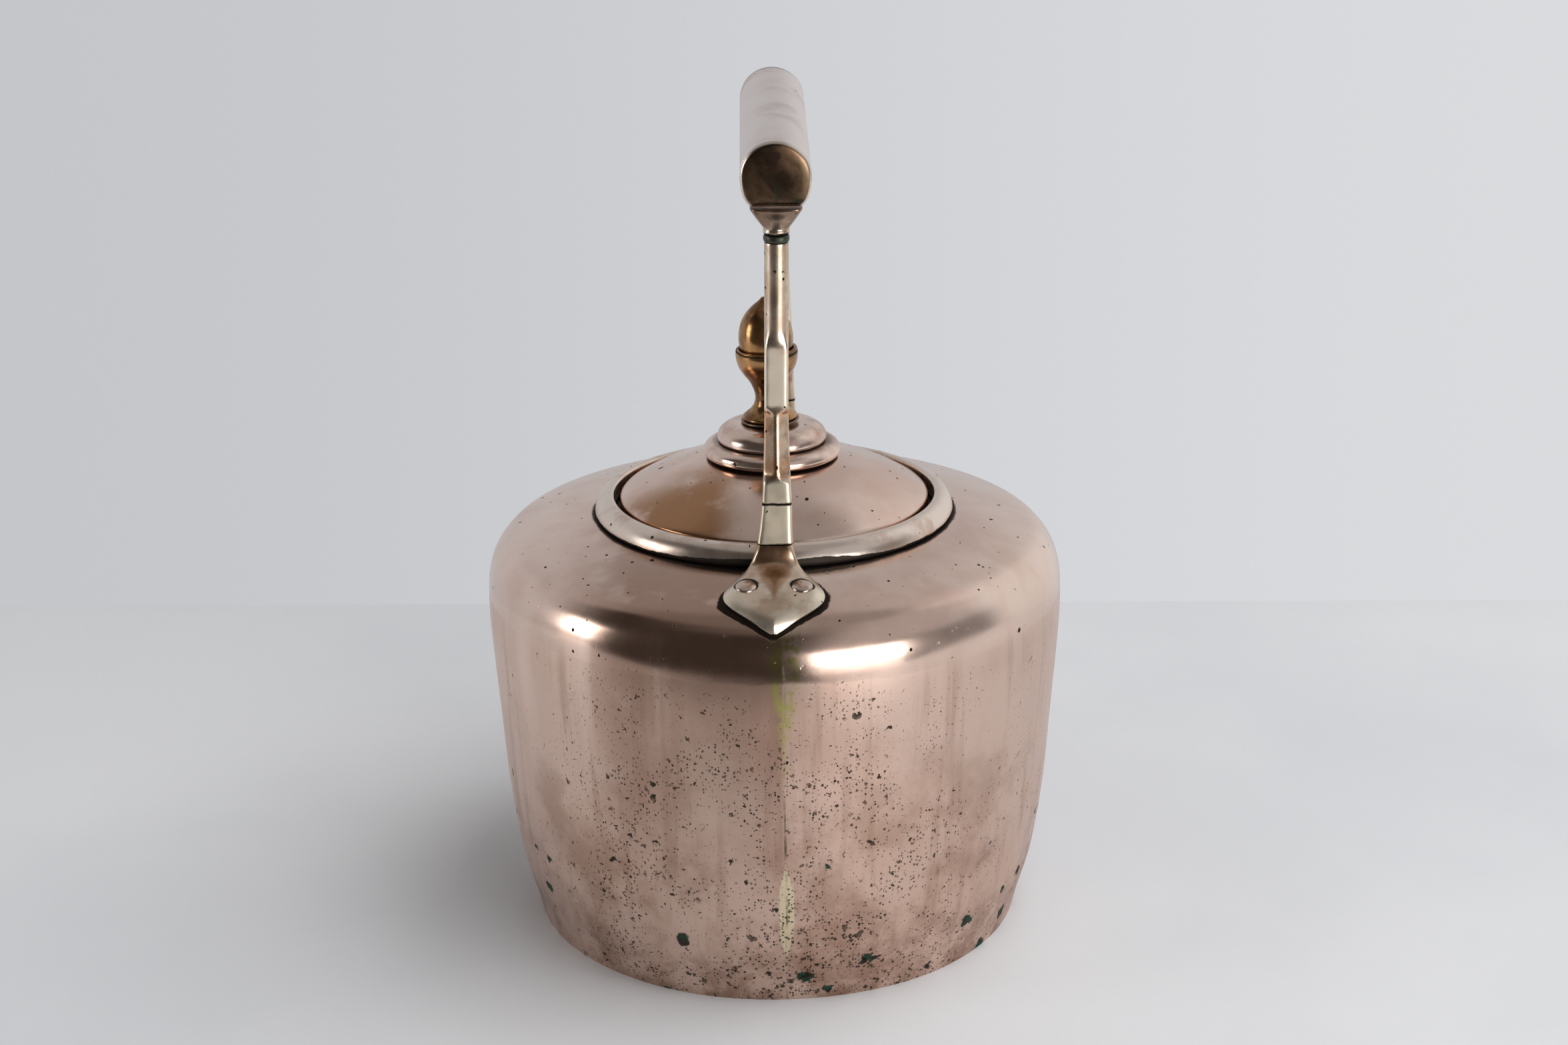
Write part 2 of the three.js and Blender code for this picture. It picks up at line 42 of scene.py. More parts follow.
# ---------- sizes in millimetres, as in the CAD ----------
SHEET = 1.5
THIN = 1.2
WALL = [
    (90.5, 0), (92.35, 8), (96.9, 25), (100.35, 50), (102.3, 75), (104.0, 100), (104.8, 115), (104.6, 126),
]
WALL_TOP = 126
TURN = [(103.9, 132.4), (102.15, 137.7), (99.2, 142.0), (95.2, 145.3)]
RING_OUTER = 65.2
RING_INNER = 58.3
RING_TOP = 159.2
SHOULDER_TOP = 152.0
SHOULDER_BULGE = 1.0
MOUTH_RADIUS = 52.3
LID_RADIUS = 56.1
LID_EDGE_TOP = 158.6
LID_SPHERE = 103.0
LID_SKIRT_RADIUS = 51.6
LID_SEAT = 152.3
LID_SKIRT_BOTTOM = 144.5
KNOB_LEAN = math.radians(2.3)
KNOB_PIVOT = 172.0
KNOB_OFFSET = -0.5
STUD_HOLE = 2.9
STEP_HOLE = 3.6
FOOT_OFFSET = 1.4
SHANK_OFFSET = 2.3
GRIP_OFFSET = 1.3
GRIP_TURN = math.radians(1.6)
RIVET_SPREAD = 9.45
RIVET_REACH = 82.5
FOOT_LIFT = 0.3
FOOT_EDGE = 0.9
FOOT_CREST = 3.1
FOOT_BEVEL = 4.6
EDGE_CHAMFER = 0.8
ROOF_SLOPE = 33
GRIP_RADIUS = 11.85
GRIP_KEEL = 9.9
GRIP_KEEL_HALF = 8.4
GRIP_HALF = 58.6
GRIP_HEIGHT = 288.7
GRIP_RISE = math.radians(3.1)
STEM_RADIUS = 4.1
UPRIGHT_REACH = 55.5
FOOT_HALF_WIDTH = [          # reach, half width of the cast foot's plate
    (66.6, 8.4), (70, 9.3), (74, 11.8), (78, 14.5), (81, 16.2), (84, 17.0), (86.5, 17.1), (88.5, 16.5),
    (90.5, 15.0), (93, 12.5), (95.5, 9.2), (97.8, 5.3), (99.2, 2.4), (99.8, 0.8),
]
SPOUT = [
    (78, 42, 21.5, 29), (97, 43, 20.5, 27), (106.5, 46, 18, 23), (116, 52, 15.3, 18.5), (125, 60, 12.8, 14.8),
    (132.5, 69, 10.9, 12), (138, 81, 9.6, 10.2), (141.8, 93, 8.8, 9.2), (145.8, 104.5, 8.4, 8.6),
    (150.4, 114, 8.3, 8.3), (155, 121, 8.3, 8.3),
]
SPOUT_WALL = 1.6
SPOUT_ROOT = 8
SPOUT_HOLE = (46, 14, 21)

AROUND = 256


# ---------- shape helpers ----------
def flowing(points, per_span=6):
    """Points of a smooth curve through the given ones (Catmull-Rom)."""
    result = []
    last = len(points) - 1
    for i in range(last):
        before = points[max(i - 1, 0)]
        start, end = points[i], points[i + 1]
        after = points[min(i + 2, last)]
        for step in range(per_span):
            t = step / per_span
            result.append(tuple(
                0.5 * (2 * b + (c - a) * t + (2 * a - 5 * b + 4 * c - d) * t * t + (3 * b - a - 3 * c + d) * t ** 3)
                for a, b, c, d in zip(before, start, end, after)
            ))
    result.append(tuple(points[-1]))
    return result


def inset_line(outline, distance):
    """The open outline moved to the left of its direction."""
    moved = []
    for i, (radius, height) in enumerate(outline):
        before = outline[max(i - 1, 0)]
        after = outline[min(i + 1, len(outline) - 1)]
        along = Vector((after[0] - before[0], after[1] - before[1])).normalized()
        moved.append((radius - along.y * distance, height + along.x * distance))
    return moved


def mesh_object(name, points, faces, sharp=38):
    """A mesh object from points in millimetres, with its faces turned outward."""
    mesh = bpy.data.meshes.new(name)
    mesh.from_pydata([tuple(value * MM for value in point) for point in points], [], faces)
    mesh.validate()
    mesh.update()
    volume = sum(face.center.dot(face.normal) * face.area for face in mesh.polygons)
    if volume < 0:
        mesh.flip_normals()
    mesh.shade_smooth()
    mesh.set_sharp_from_angle(angle=math.radians(sharp))
    made = bpy.data.objects.new(name, mesh)
    bpy.context.collection.objects.link(made)
    return made


def uneven(point, amount, scale, seed=0.0):
    """A slow hand-beaten unevenness, in millimetres."""
    return amount * noise.noise(Vector(point) * scale + Vector((seed, seed * 1.7, -seed)))


def turned_mesh(name, outline, around=None, amount=0.0, scale=0.03, place=None, sharp=38):
    """A closed outline of (radius, height) turned round Z; place maps each finished point."""
    around = around or AROUND
    points = []
    rings = []
    for radius, height in outline:
        if radius == 0:
            rings.append([len(points)])
            points.append((0, 0, height))
            continue
        rings.append(list(range(len(points), len(points) + around)))
        for i in range(around):
            angle = 2 * math.pi * i / around
            flat = (math.cos(angle), math.sin(angle))
            reach = radius
            if amount:
                reach += uneven((flat[0] * radius, flat[1] * radius, height), amount, scale)
            points.append((flat[0] * reach, flat[1] * reach, height))
    open_ended = outline[0][0] == 0
    pairs = list(zip(rings, rings[1:])) if open_ended else list(zip(rings, rings[1:] + rings[:1]))
    faces = []
    for low, high in pairs:
        for i in range(around):
            k = (i + 1) % around
            if len(low) == 1 and len(high) == 1:
                break
            if len(low) == 1:
                faces.append((low[0], high[i], high[k]))
            elif len(high) == 1:
                faces.append((low[i], low[k], high[0]))
            else:
                faces.append((low[i], low[k], high[k], high[i]))
    if place:
        points = [place(point) for point in points]
    return mesh_object(name, points, faces, sharp)


def loft_mesh(name, rings, closed_ends=True, sharp=38):
    """Skins a row of equal rings; a hollow loft is made by giving rings that return on themselves."""
    count = len(rings[0])
    points = [tuple(point) for ring in rings for point in ring]
    faces = []
    rows = len(rings) if not closed_ends else len(rings) - 1
    for row in range(rows):
        after = (row + 1) % len(rings)
        for i in range(count):
            k = (i + 1) % count
            faces.append((row * count + i, row * count + k, after * count + k, after * count + i))
    if closed_ends:
        faces.append(tuple(range(count)))
        faces.append(tuple(len(points) - 1 - i for i in range(count)))
    return mesh_object(name, points, faces, sharp)


def soft_limit(*radii, power=26):
    """The smallest of the radii, rounded where two of them meet."""
    return sum((1 / radius) ** power for radius in radii) ** (-1 / power)


def bar_ring(reach, height, half_width, half_depth, ridge_flat, roundness, direction, count=96):
    """A level ring of an upright bar: a rectangle whose outer face can slope back to a ridge, or an ellipse."""
    slope = math.radians(ROOF_SLOPE)
    ring = []
    for i in range(count):
        angle = 2 * math.pi * (i + 0.5) / count
        c, s = math.cos(angle), math.sin(angle)
        box = soft_limit(half_width / max(abs(c), 1e-4), half_depth / max(abs(s), 1e-4))
        corner = (half_width + half_depth - EDGE_CHAMFER) / (abs(c) + abs(s))
        roof = math.cos(slope) * (half_depth + ridge_flat * math.tan(slope))
        roof /= max(abs(c) * math.sin(slope) + s * math.cos(slope), 1e-4)
        square = soft_limit(box, corner, roof)
        ellipse = half_width * half_depth / math.hypot(half_depth * c, half_width * s)
        radius = square * (1 - roundness) + ellipse * roundness
        ring.append((radius * c * direction, (reach + radius * s) * direction, height))
    return ring


def handle_shift(y, z):
    """How far the slightly sprung handle stands to one side at a place."""
    shank = smooth_step(155, 178, z)
    grip = smooth_step(200, 268, z)
    return FOOT_OFFSET + shank * (SHANK_OFFSET - FOOT_OFFSET) + grip * (
        GRIP_OFFSET - SHANK_OFFSET - math.tan(GRIP_TURN) * y)


def settled(point):
    return (point[0] + handle_shift(point[1], point[2]), point[1], point[2])


def settled_rings(rings):
    return [[settled(point) for point in ring] for ring in rings]


def shoulder_height(radius):
    if radius <= RING_OUTER:
        return SHOULDER_TOP
    part = (radius - RING_OUTER) / (TURN[-1][0] - RING_OUTER)
    rise = SHOULDER_TOP + (TURN[-1][1] - SHOULDER_TOP) * part
    return rise + SHOULDER_BULGE * 4 * part * (1 - part)


def lid_height(radius):
    centre = LID_EDGE_TOP - math.sqrt(LID_SPHERE ** 2 - LID_RADIUS ** 2)
    return centre + math.sqrt(LID_SPHERE ** 2 - radius ** 2)


def smooth_step(low, high, value):
    t = min(max((value - low) / (high - low), 0), 1)
    return t * t * (3 - 2 * t)


def table_value(table, key):
    """Smooth value from a table of (key, value) rows with rising keys."""
    curve = flowing(table, 8)
    for (k0, v0), (k1, v1) in zip(curve, curve[1:]):
        if key <= k1:
            return v0 + (v1 - v0) * (key - k0) / max(k1 - k0, 1e-9)
    return curve[-1][1]


def finish_piece(piece, material, body, slot, *nodes):
    piece.data.materials.clear()
    piece.data.materials.append(material)
    if nodes:
        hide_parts(*nodes)
    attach(piece, body)
    return piece


def dress_cad(names, material):
    for name in names:
        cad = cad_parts[name]
        cad.data.materials.clear()
        cad.data.materials.append(material)


# ---------- materials ----------
class Nodes:
    """Short names for building one material's node tree."""

    def __init__(self, name):
        self.material = bpy.data.materials.new(name)
        self.material.use_nodes = True
        self.tree = self.material.node_tree
        self.shader = self.tree.nodes["Principled BSDF"]
        self.shader.inputs["Metallic"].default_value = 1.0
        coordinates = self.tree.nodes.new("ShaderNodeTexCoord")
        self.place = coordinates.outputs["Object"]
        facing = self.tree.nodes.new("ShaderNodeSeparateXYZ")
        self.link(coordinates.outputs["Normal"], facing.inputs[0])
        self.facing_y = facing.outputs[1]
        parts = self.tree.nodes.new("ShaderNodeSeparateXYZ")
        self.link(self.place, parts.inputs[0])
        self.x, self.y, self.z = parts.outputs

    def link(self, source, target):
        if hasattr(source, "links"):
            self.tree.links.new(source, target)
        else:
            target.default_value = source

    def math(self, operation, first, second=0.0, clamp=False):
        node = self.tree.nodes.new("ShaderNodeMath")
        node.operation = operation
        node.use_clamp = clamp
        self.link(first, node.inputs[0])
        self.link(second, node.inputs[1])
        return node.outputs[0]

    def ramp(self, value, low, high, out_low=0.0, out_high=1.0, smooth=True):
        node = self.tree.nodes.new("ShaderNodeMapRange")
        node.interpolation_type = "SMOOTHSTEP" if smooth else "LINEAR"
        self.link(value, node.inputs["Value"])
        for socket, number in zip(("From Min", "From Max", "To Min", "To Max"), (low, high, out_low, out_high)):
            self.link(number, node.inputs[socket])
        return node.outputs["Result"]

    def scaled(self, scale, offset=(0, 0, 0)):
        node = self.tree.nodes.new("ShaderNodeMapping")
        node.inputs["Scale"].default_value = scale
        node.inputs["Location"].default_value = offset
        self.link(self.place, node.inputs["Vector"])
        return node.outputs[0]

    def noise(self, scale, detail=4, roughness=0.55, vector=None, distortion=0.0):
        node = self.tree.nodes.new("ShaderNodeTexNoise")
        self.link(vector or self.place, node.inputs["Vector"])
        node.inputs["Scale"].default_value = scale
        node.inputs["Detail"].default_value = detail
        node.inputs["Roughness"].default_value = roughness
        node.inputs["Distortion"].default_value = distortion
        return node.outputs["Fac"]

    def spots(self, scale, vector=None, randomness=1.0):
        """Distance to the nearest scattered point, and a random number for it."""
        node = self.tree.nodes.new("ShaderNodeTexVoronoi")
        self.link(vector or self.place, node.inputs["Vector"])
        node.inputs["Scale"].default_value = scale
        node.inputs["Randomness"].default_value = randomness
        parts = self.tree.nodes.new("ShaderNodeSeparateColor")
        self.link(node.outputs["Color"], parts.inputs[0])
        return node.outputs["Distance"], parts.outputs[0]

    def bend(self, scale, amount):
        """The place, pushed about by a noise, so that spots aren't round."""
        node = self.tree.nodes.new("ShaderNodeTexNoise")
        self.link(self.place, node.inputs["Vector"])
        node.inputs["Scale"].default_value = scale
        shift = self.tree.nodes.new("ShaderNodeVectorMath")
        shift.operation = "MULTIPLY_ADD"
        self.link(node.outputs["Color"], shift.inputs[0])
        shift.inputs[1].default_value = (amount, amount, amount)
        self.link(self.place, shift.inputs[2])
        return shift.outputs[0]

    def mix(self, factor, first, second):
        node = self.tree.nodes.new("ShaderNodeMix")
        node.data_type = "RGBA"
        self.link(factor, node.inputs["Factor"])
        for socket, value in zip(node.inputs[6:8], (first, second)):
            self.link(value if hasattr(value, "links") else (*value, 1), socket)
        return node.outputs[2]

    def curve(self, value, table, top):
        """Value looked up in a table of (input, output) pairs, both between 0 and top."""
        node = self.tree.nodes.new("ShaderNodeFloatCurve")
        line = node.mapping.curves[0]
        line.points[0].location = (0, table[0][1] / top)
        line.points[1].location = (1, table[-1][1] / top)
        for key, number in table:
            line.points.new(key / top, number / top)
        node.mapping.update()
        self.link(self.math("DIVIDE", value, top), node.inputs["Value"])
        return self.math("MULTIPLY", node.outputs[0], top)

    def bump(self, height, distance, strength=1.0, below=None):
        node = self.tree.nodes.new("ShaderNodeBump")
        node.inputs["Strength"].default_value = strength
        node.inputs["Distance"].default_value = distance
        self.link(height, node.inputs["Height"])
        if below is not None:
            self.link(below, node.inputs["Normal"])
        return node.outputs[0]

    def done(self, color, roughness, metallic=1.0, normal=None):
        self.link(color, self.shader.inputs["Base Color"])
        self.link(roughness, self.shader.inputs["Roughness"])
        self.link(metallic, self.shader.inputs["Metallic"])
        if normal is not None:
            self.link(normal, self.shader.inputs["Normal"])
        return self.material


COPPER = (0.90, 0.70, 0.60)
COPPER_WARM = (0.76, 0.53, 0.43)
COPPER_DULL = (0.60, 0.42, 0.335)
COPPER_BROWN = (0.30, 0.165, 0.11)
BROWN_STAIN_AND_SHADE = (0.44, 0.23, 0.12)
SOOT = (0.014, 0.010, 0.008)
VERDIGRIS = (0.03, 0.13, 0.085)
PIT_DARK = (0.045, 0.04, 0.028)
BRASS_LINE = (0.46, 0.42, 0.13)
CREAM = (0.84, 0.76, 0.50)
PALE = (0.88, 0.78, 0.68)
SEAM_AT = 0.0047
PIT_LAYERS = ((190, 0.22, 0.36, 0.0050), (420, 0.50, 0.42, 0.0030), (950, 0.72, 0.50, 0.0012))


def scattered_dots(n, scale, share, size, bend, limit_mask=None):
    """Irregular dots: a share of the cells of the given scale holds one, of random size."""
    distance, chance = n.spots(scale, n.bend(scale * 2.2, bend))
    limit = n.ramp(chance, 1 - share, 1.0, 0.0, size, False)
    if limit_mask is not None:
        limit = n.math("MULTIPLY", limit, limit_mask)
    return n.ramp(n.math("SUBTRACT", limit, distance), -0.02, 0.03), n.ramp(
        n.math("SUBTRACT", limit, distance), -0.10, 0.02)


def seam_masks(n):
    """The brazed seam down the front: mottled brass line above, pale lens low down, thin dark line between."""
    wander = n.math("MULTIPLY", n.math("SUBTRACT", n.noise(20, 3), 0.5), 0.0022)
    off = n.math("ABSOLUTE", n.math("SUBTRACT", n.math("ADD", n.x, wander), SEAM_AT))
    near_side = n.ramp(n.y, 0.0, -0.01)
    upper = n.math("MULTIPLY", n.ramp(n.z, 0.080, 0.118), n.ramp(n.noise(260, 5, 0.7), 0.40, 0.56))
    spread = n.ramp(n.z, 0.100, 0.132, 0.0022, 0.0058)
    upper = n.math("MULTIPLY", upper, n.ramp(n.math("SUBTRACT", off, spread), 0.0006, -0.0024))
    lens_width = n.math("MULTIPLY", n.ramp(n.z, 0.016, 0.032), n.ramp(n.z, 0.060, 0.045))
    lens_width = n.math("MULTIPLY", lens_width, 0.0028)
    lens = n.ramp(n.math("SUBTRACT", lens_width, off), -0.0002, 0.0006)
    line = n.math("MULTIPLY", n.ramp(off, 0.0006, 0.0002), n.ramp(n.noise(90, 4, 0.7), 0.40, 0.62))
    line = n.math("MULTIPLY", line, n.ramp(n.z, 0.094, 0.080, 0.25, 0.75))
    return [n.math("MULTIPLY", mask, near_side) for mask in (upper, lens, line)]


def body_copper(name, kind):
    """Worn copper sheet. The wall is pitted and dull, brown and touched by verdigris low down."""
    n = Nodes(name)
    cloud = n.noise(14, 5, 0.6)
    streak = n.noise(60, 3, 0.5, n.scaled((1, 1, 0.05)))
    color = n.mix(n.ramp(cloud, 0.40, 0.66), COPPER, COPPER_WARM)
    color = n.mix(n.math("MULTIPLY", n.ramp(streak, 0.48, 0.74), 0.4), color, COPPER_WARM)
    rough = n.ramp(n.noise(35, 4), 0.3, 0.7, 0.15, 0.24)
    dirt = 0.0
    if kind in ("wall", "shoulder"):
        low = n.ramp(n.z, 0.135, 0.015)
        color = n.mix(n.math("MULTIPLY", n.ramp(n.z, 0.142, 0.118), 0.6), color, COPPER_DULL)
        patch = n.math("MULTIPLY", n.ramp(n.noise(26, 6, 0.65), 0.46, 0.64), n.math("ADD", low, n.ramp(n.z, 0.136, 0.118, 0.0, 0.2)))
        color = n.mix(n.math("MULTIPLY", patch, 0.5), color, COPPER_BROWN)
        fine_streak = n.noise(150, 4, 0.6, n.scaled((1, 1, 0.04)))
        streaked = n.math("MULTIPLY", n.ramp(fine_streak, 0.5, 0.72), n.ramp(n.z, 0.134, 0.118, 0.0, 0.35))
        color = n.mix(streaked, color, COPPER_BROWN)
        base_zone = n.ramp(n.z, 0.036, 0.0)
        brown = n.math("MULTIPLY", n.ramp(n.noise(60, 6, 0.7), 0.42, 0.62), base_zone)
        color = n.mix(n.math("MULTIPLY", brown, 0.75), color, COPPER_BROWN)
        # Painted shade: the front of the wall left of the seam is browned, more towards the top, standing for the dark
        # room it reflects.
        painted_shade_left_of_seam = n.math("MULTIPLY", n.ramp(n.x, SEAM_AT + 0.001, SEAM_AT - 0.002), n.ramp(n.x, -0.075, -0.045))
        painted_shade_left_of_seam = n.math("MULTIPLY", painted_shade_left_of_seam, n.ramp(n.y, 0.0, -0.03))
        painted_shade_left_of_seam = n.math("MULTIPLY", painted_shade_left_of_seam, n.ramp(n.z, 0.020, 0.115, 0.15, 0.62))
        color = n.mix(n.math("MULTIPLY", painted_shade_left_of_seam, n.ramp(cloud, 0.35, 0.55, 0.55, 1.0)), color, COPPER_BROWN)
        upper, lens, line = seam_masks(n)
        color = n.mix(n.math("MULTIPLY", upper, 0.8), color, BRASS_LINE)
        color = n.mix(n.math("MULTIPLY", lens, 0.6), color, CREAM)
        crowd = n.ramp(n.noise(38, 5, 0.7), 0.36, 0.60, 0.42, 1.1)
        crowd = n.math("MULTIPLY", crowd, n.ramp(n.math("ABSOLUTE", n.x), 0.085, 0.04, 0.5, 1.0))
        crowd = n.math("MULTIPLY", crowd, n.ramp(n.z, 0.140, 0.112))
        crowd = n.math("MULTIPLY", crowd, n.ramp(n.z, 0.12, 0.02, 0.8, 1.1))
        pits = line
        for layer in PIT_LAYERS:
            pits = n.math("MAXIMUM", pits, scattered_dots(n, *layer, crowd)[0])
        color = n.mix(n.math("MULTIPLY", pits, n.ramp(n.noise(240, 3), 0.35, 0.6, 0.55, 0.95)), color, PIT_DARK)
        green, rim = scattered_dots(n, 140, 0.25, 0.40, 0.0048, n.ramp(n.z, 0.085, 0.004, 0.0, 1.1))
        green = n.math("MULTIPLY", green, n.ramp(n.noise(420, 4, 0.7), 0.42, 0.58))
        color = n.mix(n.math("MULTIPLY", rim, 0.9), color, SOOT)
        color = n.mix(n.math("MULTIPLY", green, 0.85), color, VERDIGRIS)
        dirt = n.math("MAXIMUM", pits, rim)
        dull = n.ramp(n.math("ADD", n.z, n.math("MULTIPLY", n.noise(70, 4, 0.65), 0.004)), 0.1285, 0.1268)
        run = n.ramp(n.noise(42, 3, 0.55, n.scaled((1, 1, 0.02), (3.1, 0.7, 0))), 0.52, 0.66)
        run = n.math("MULTIPLY", run, n.ramp(n.z, 0.060, 0.122))
        color = n.mix(n.math("MULTIPLY", run, 0.45), color, COPPER)
        rough = n.math("ADD", rough, n.math("MULTIPLY", dull, 0.15))
        rough = n.math("ADD", rough, n.math("MULTIPLY", low, 0.05))
    if kind != "wall":
        dots = scattered_dots(n, 150, 0.2, 0.17, 0.002)[0]
        dots = n.math("MAXIMUM", dots, scattered_dots(n, 420, 0.12, 0.26, 0.001)[0])
    if kind == "shoulder":
        dots = n.math("MAXIMUM", dots, shoulder_dark_bands(n))
    if kind == "lid":
        left = n.math("MULTIPLY", n.ramp(n.x, -0.006, -0.022), n.ramp(n.y, -0.004, -0.030))
        left = n.math("MULTIPLY", left, n.ramp(n.noise(45, 5, 0.6), 0.30, 0.54))
        color = n.mix(left, color, BROWN_STAIN_AND_SHADE)
    if kind != "wall":
        color = n.mix(n.math("MULTIPLY", dots, 0.97), color, SOOT)
        dirt = n.math("MAXIMUM", dots, dirt)
    rough = n.math("ADD", rough, n.math("MULTIPLY", dirt, 0.4))
    fine = n.bump(n.noise(900, 3, 0.6), 0.00002, 0.35)
    normal = n.bump(n.math("MULTIPLY", dirt, -1.0), 0.00015, 0.6, fine)
    return n.done(color, rough, 1.0, normal)


def near_feet(n):
    """Share of the dark band under the mouth ring: most where the handle's feet cross it."""
    return n.ramp(n.math("ABSOLUTE", n.math("SUBTRACT", n.x, FOOT_OFFSET * MM)), 0.045, 0.010, 0.4, 1.0)


def foot_wear(n):
    """Masks of the painted shade along the foot's ridge and of the grime round its rivets."""
    beside = n.math("ABSOLUTE", n.math("SUBTRACT", n.x, FOOT_OFFSET * MM))
    reach = n.math("ABSOLUTE", n.y)
    ridge = n.math("SUBTRACT", beside, n.ramp(reach, 0.094, 0.074, 0.0, 0.0058))
    ridge = n.math("MULTIPLY", n.ramp(ridge, 0.0006, -0.0014), n.ramp(reach, 0.094, 0.088))
    across = n.math("POWER", n.math("SUBTRACT", beside, RIVET_SPREAD * MM), 2)
    along = n.math("POWER", n.math("SUBTRACT", reach, RIVET_REACH * MM), 2)
    from_rivet = n.math("SQRT", n.math("ADD", across, along))
    ring = n.ramp(n.math("ADD", from_rivet, n.math("MULTIPLY", n.noise(300, 4, 0.6), 0.0016)), 0.0053, 0.0046)
    return ridge, ring


def shoulder_dark_bands(n):
    """Dark bands in the corner under the mouth ring and round the two cast feet."""
    ragged = n.math("ADD", n.math("MULTIPLY", n.noise(260, 4, 0.7), 0.0016),
                    n.math("MULTIPLY", n.ramp(n.noise(48, 3), 0.35, 0.65), 0.0014))
    across = n.math("MULTIPLY", n.x, n.x)
    radius = n.math("SQRT", n.math("ADD", across, n.math("MULTIPLY", n.y, n.y)))
    width = n.math("MULTIPLY", n.math("ADD", ragged, 0.0004), near_feet(n))
    from_ring = n.math("SUBTRACT", n.math("SUBTRACT", radius, RING_OUTER * MM), width)
    ring = n.ramp(from_ring, 0.0007, -0.0003)
    reach = n.math("ABSOLUTE", n.y)
    table = [(r * MM, w * MM) for r, w in FOOT_HALF_WIDTH] + [(0.0999, 0.0)]
    half_width = n.curve(n.math("SUBTRACT", reach, 0.0006), table, 0.11)
    beside = n.math("ABSOLUTE", n.math("SUBTRACT", n.x, FOOT_OFFSET * MM))
    from_foot = n.math("SUBTRACT", n.math("SUBTRACT", beside, half_width), ragged)
    foot = n.math("MULTIPLY", n.ramp(from_foot, 0.0009, 0.0), n.ramp(reach, 0.1018, 0.1006))
    return n.math("MAXIMUM", ring, foot)


def simple_metal(name, light, dark, share=0.5, rough=(0.16, 0.3), scale=70, spot_share=0.1, green=0.0,
                 grime=(), zones=(), ragged=0.0016, kind=None):
    """Polished metal with cloudy tarnish and dark dots, grime in the level bands (height, half) and other
    tints in the level zones (low, high, tint, added roughness)."""
    n = Nodes(name)
    color = n.mix(n.ramp(n.noise(scale, 5, 0.6), 0.62 - share * 0.3, 0.82 - share * 0.3), light, dark)
    roughness = n.ramp(n.noise(scale * 2, 4), 0.3, 0.7, *rough)
    ragged_height = n.math("ADD", n.z, n.math("MULTIPLY", n.math("SUBTRACT", n.noise(90, 3), 0.5), 0.003))
    for low, high, tint, added in zones:
        zone = n.math("MULTIPLY", n.ramp(ragged_height, low - 0.001, low + 0.001),
                      n.ramp(ragged_height, high + 0.001, high - 0.001))
        patchy = n.math("MULTIPLY", zone, n.ramp(n.noise(110, 5, 0.65), 0.36, 0.56, 0.35, 0.9))
        color = n.mix(patchy, color, tint)
        roughness = n.math("ADD", roughness, n.math("MULTIPLY", zone, added))
    dirt = scattered_dots(n, 320, spot_share, 0.26, 0.0016)[0]
    for height, half in grime:
        wander = n.math("MULTIPLY", n.math("SUBTRACT", n.noise(150, 4, 0.6), 0.5), ragged)
        off = n.math("ABSOLUTE", n.math("SUBTRACT", n.math("ADD", n.z, wander), height))
        if kind == "ring":
            off = n.math("DIVIDE", off, near_feet(n))
        dirt = n.math("MAXIMUM", dirt, n.ramp(off, half + 0.0003, half - 0.0003))
    if kind == "foot":
        ridge, ring = foot_wear(n)
        # Painted shade: the top of each foot along its ridge is browned for the dark reflection it shows.
        color = n.mix(n.math("MULTIPLY", ridge, 0.75), color, BROWN_STAIN_AND_SHADE)
        dirt = n.math("MAXIMUM", dirt, ring)
    color = n.mix(n.math("MULTIPLY", dirt, 0.95), color, SOOT)
    # Painted highlight, partly the tube's own pale colour: where the cap's surface turns away from the grip's axis, on
    # its rim and sleeve, it is painted pale.
    if kind == "cap":
        color = n.mix(n.ramp(n.math("ABSOLUTE", n.facing_y), 0.93, 0.72, 0.0, 0.9), color, PALE)
    if green:
        patch = n.math("MULTIPLY", n.ramp(n.noise(120, 4, 0.6), 0.5, 0.64), green)
        color = n.mix(patch, color, VERDIGRIS)
    roughness = n.math("ADD", roughness, n.math("MULTIPLY", dirt, 0.35))
    normal = n.bump(n.noise(scale * 9, 3, 0.6), 0.00002, 0.4)
    return n.done(color, roughness, 1.0, normal)


WALL_METAL = body_copper("wall_copper", "wall")
SHOULDER_METAL = body_copper("shoulder_copper", "shoulder")
SPOUT_METAL = body_copper("spout_copper", "spout")
LID_METAL = body_copper("lid_copper", "lid")
STEP_METAL = simple_metal("step_copper", (0.86, 0.66, 0.56), (0.56, 0.37, 0.29), 0.5, (0.16, 0.26), 70, 0.1,
                          grime=((0.1731, 0.0005), (0.1784, 0.0003)), ragged=0.0004)
RING_METAL = simple_metal("ring_brass", (0.88, 0.74, 0.64), (0.70, 0.52, 0.42), 0.4, (0.22, 0.32), 70, 0.14,
                          grime=((0.1520, 0.0034),), kind="ring")
FOOT_METAL = simple_metal("foot_brass", (0.90, 0.78, 0.63), (0.66, 0.50, 0.37), 0.4, (0.30, 0.42), 90, 0.2,
                          zones=((0.1535, 0.1622, (0.62, 0.44, 0.31), -0.1),), kind="foot")
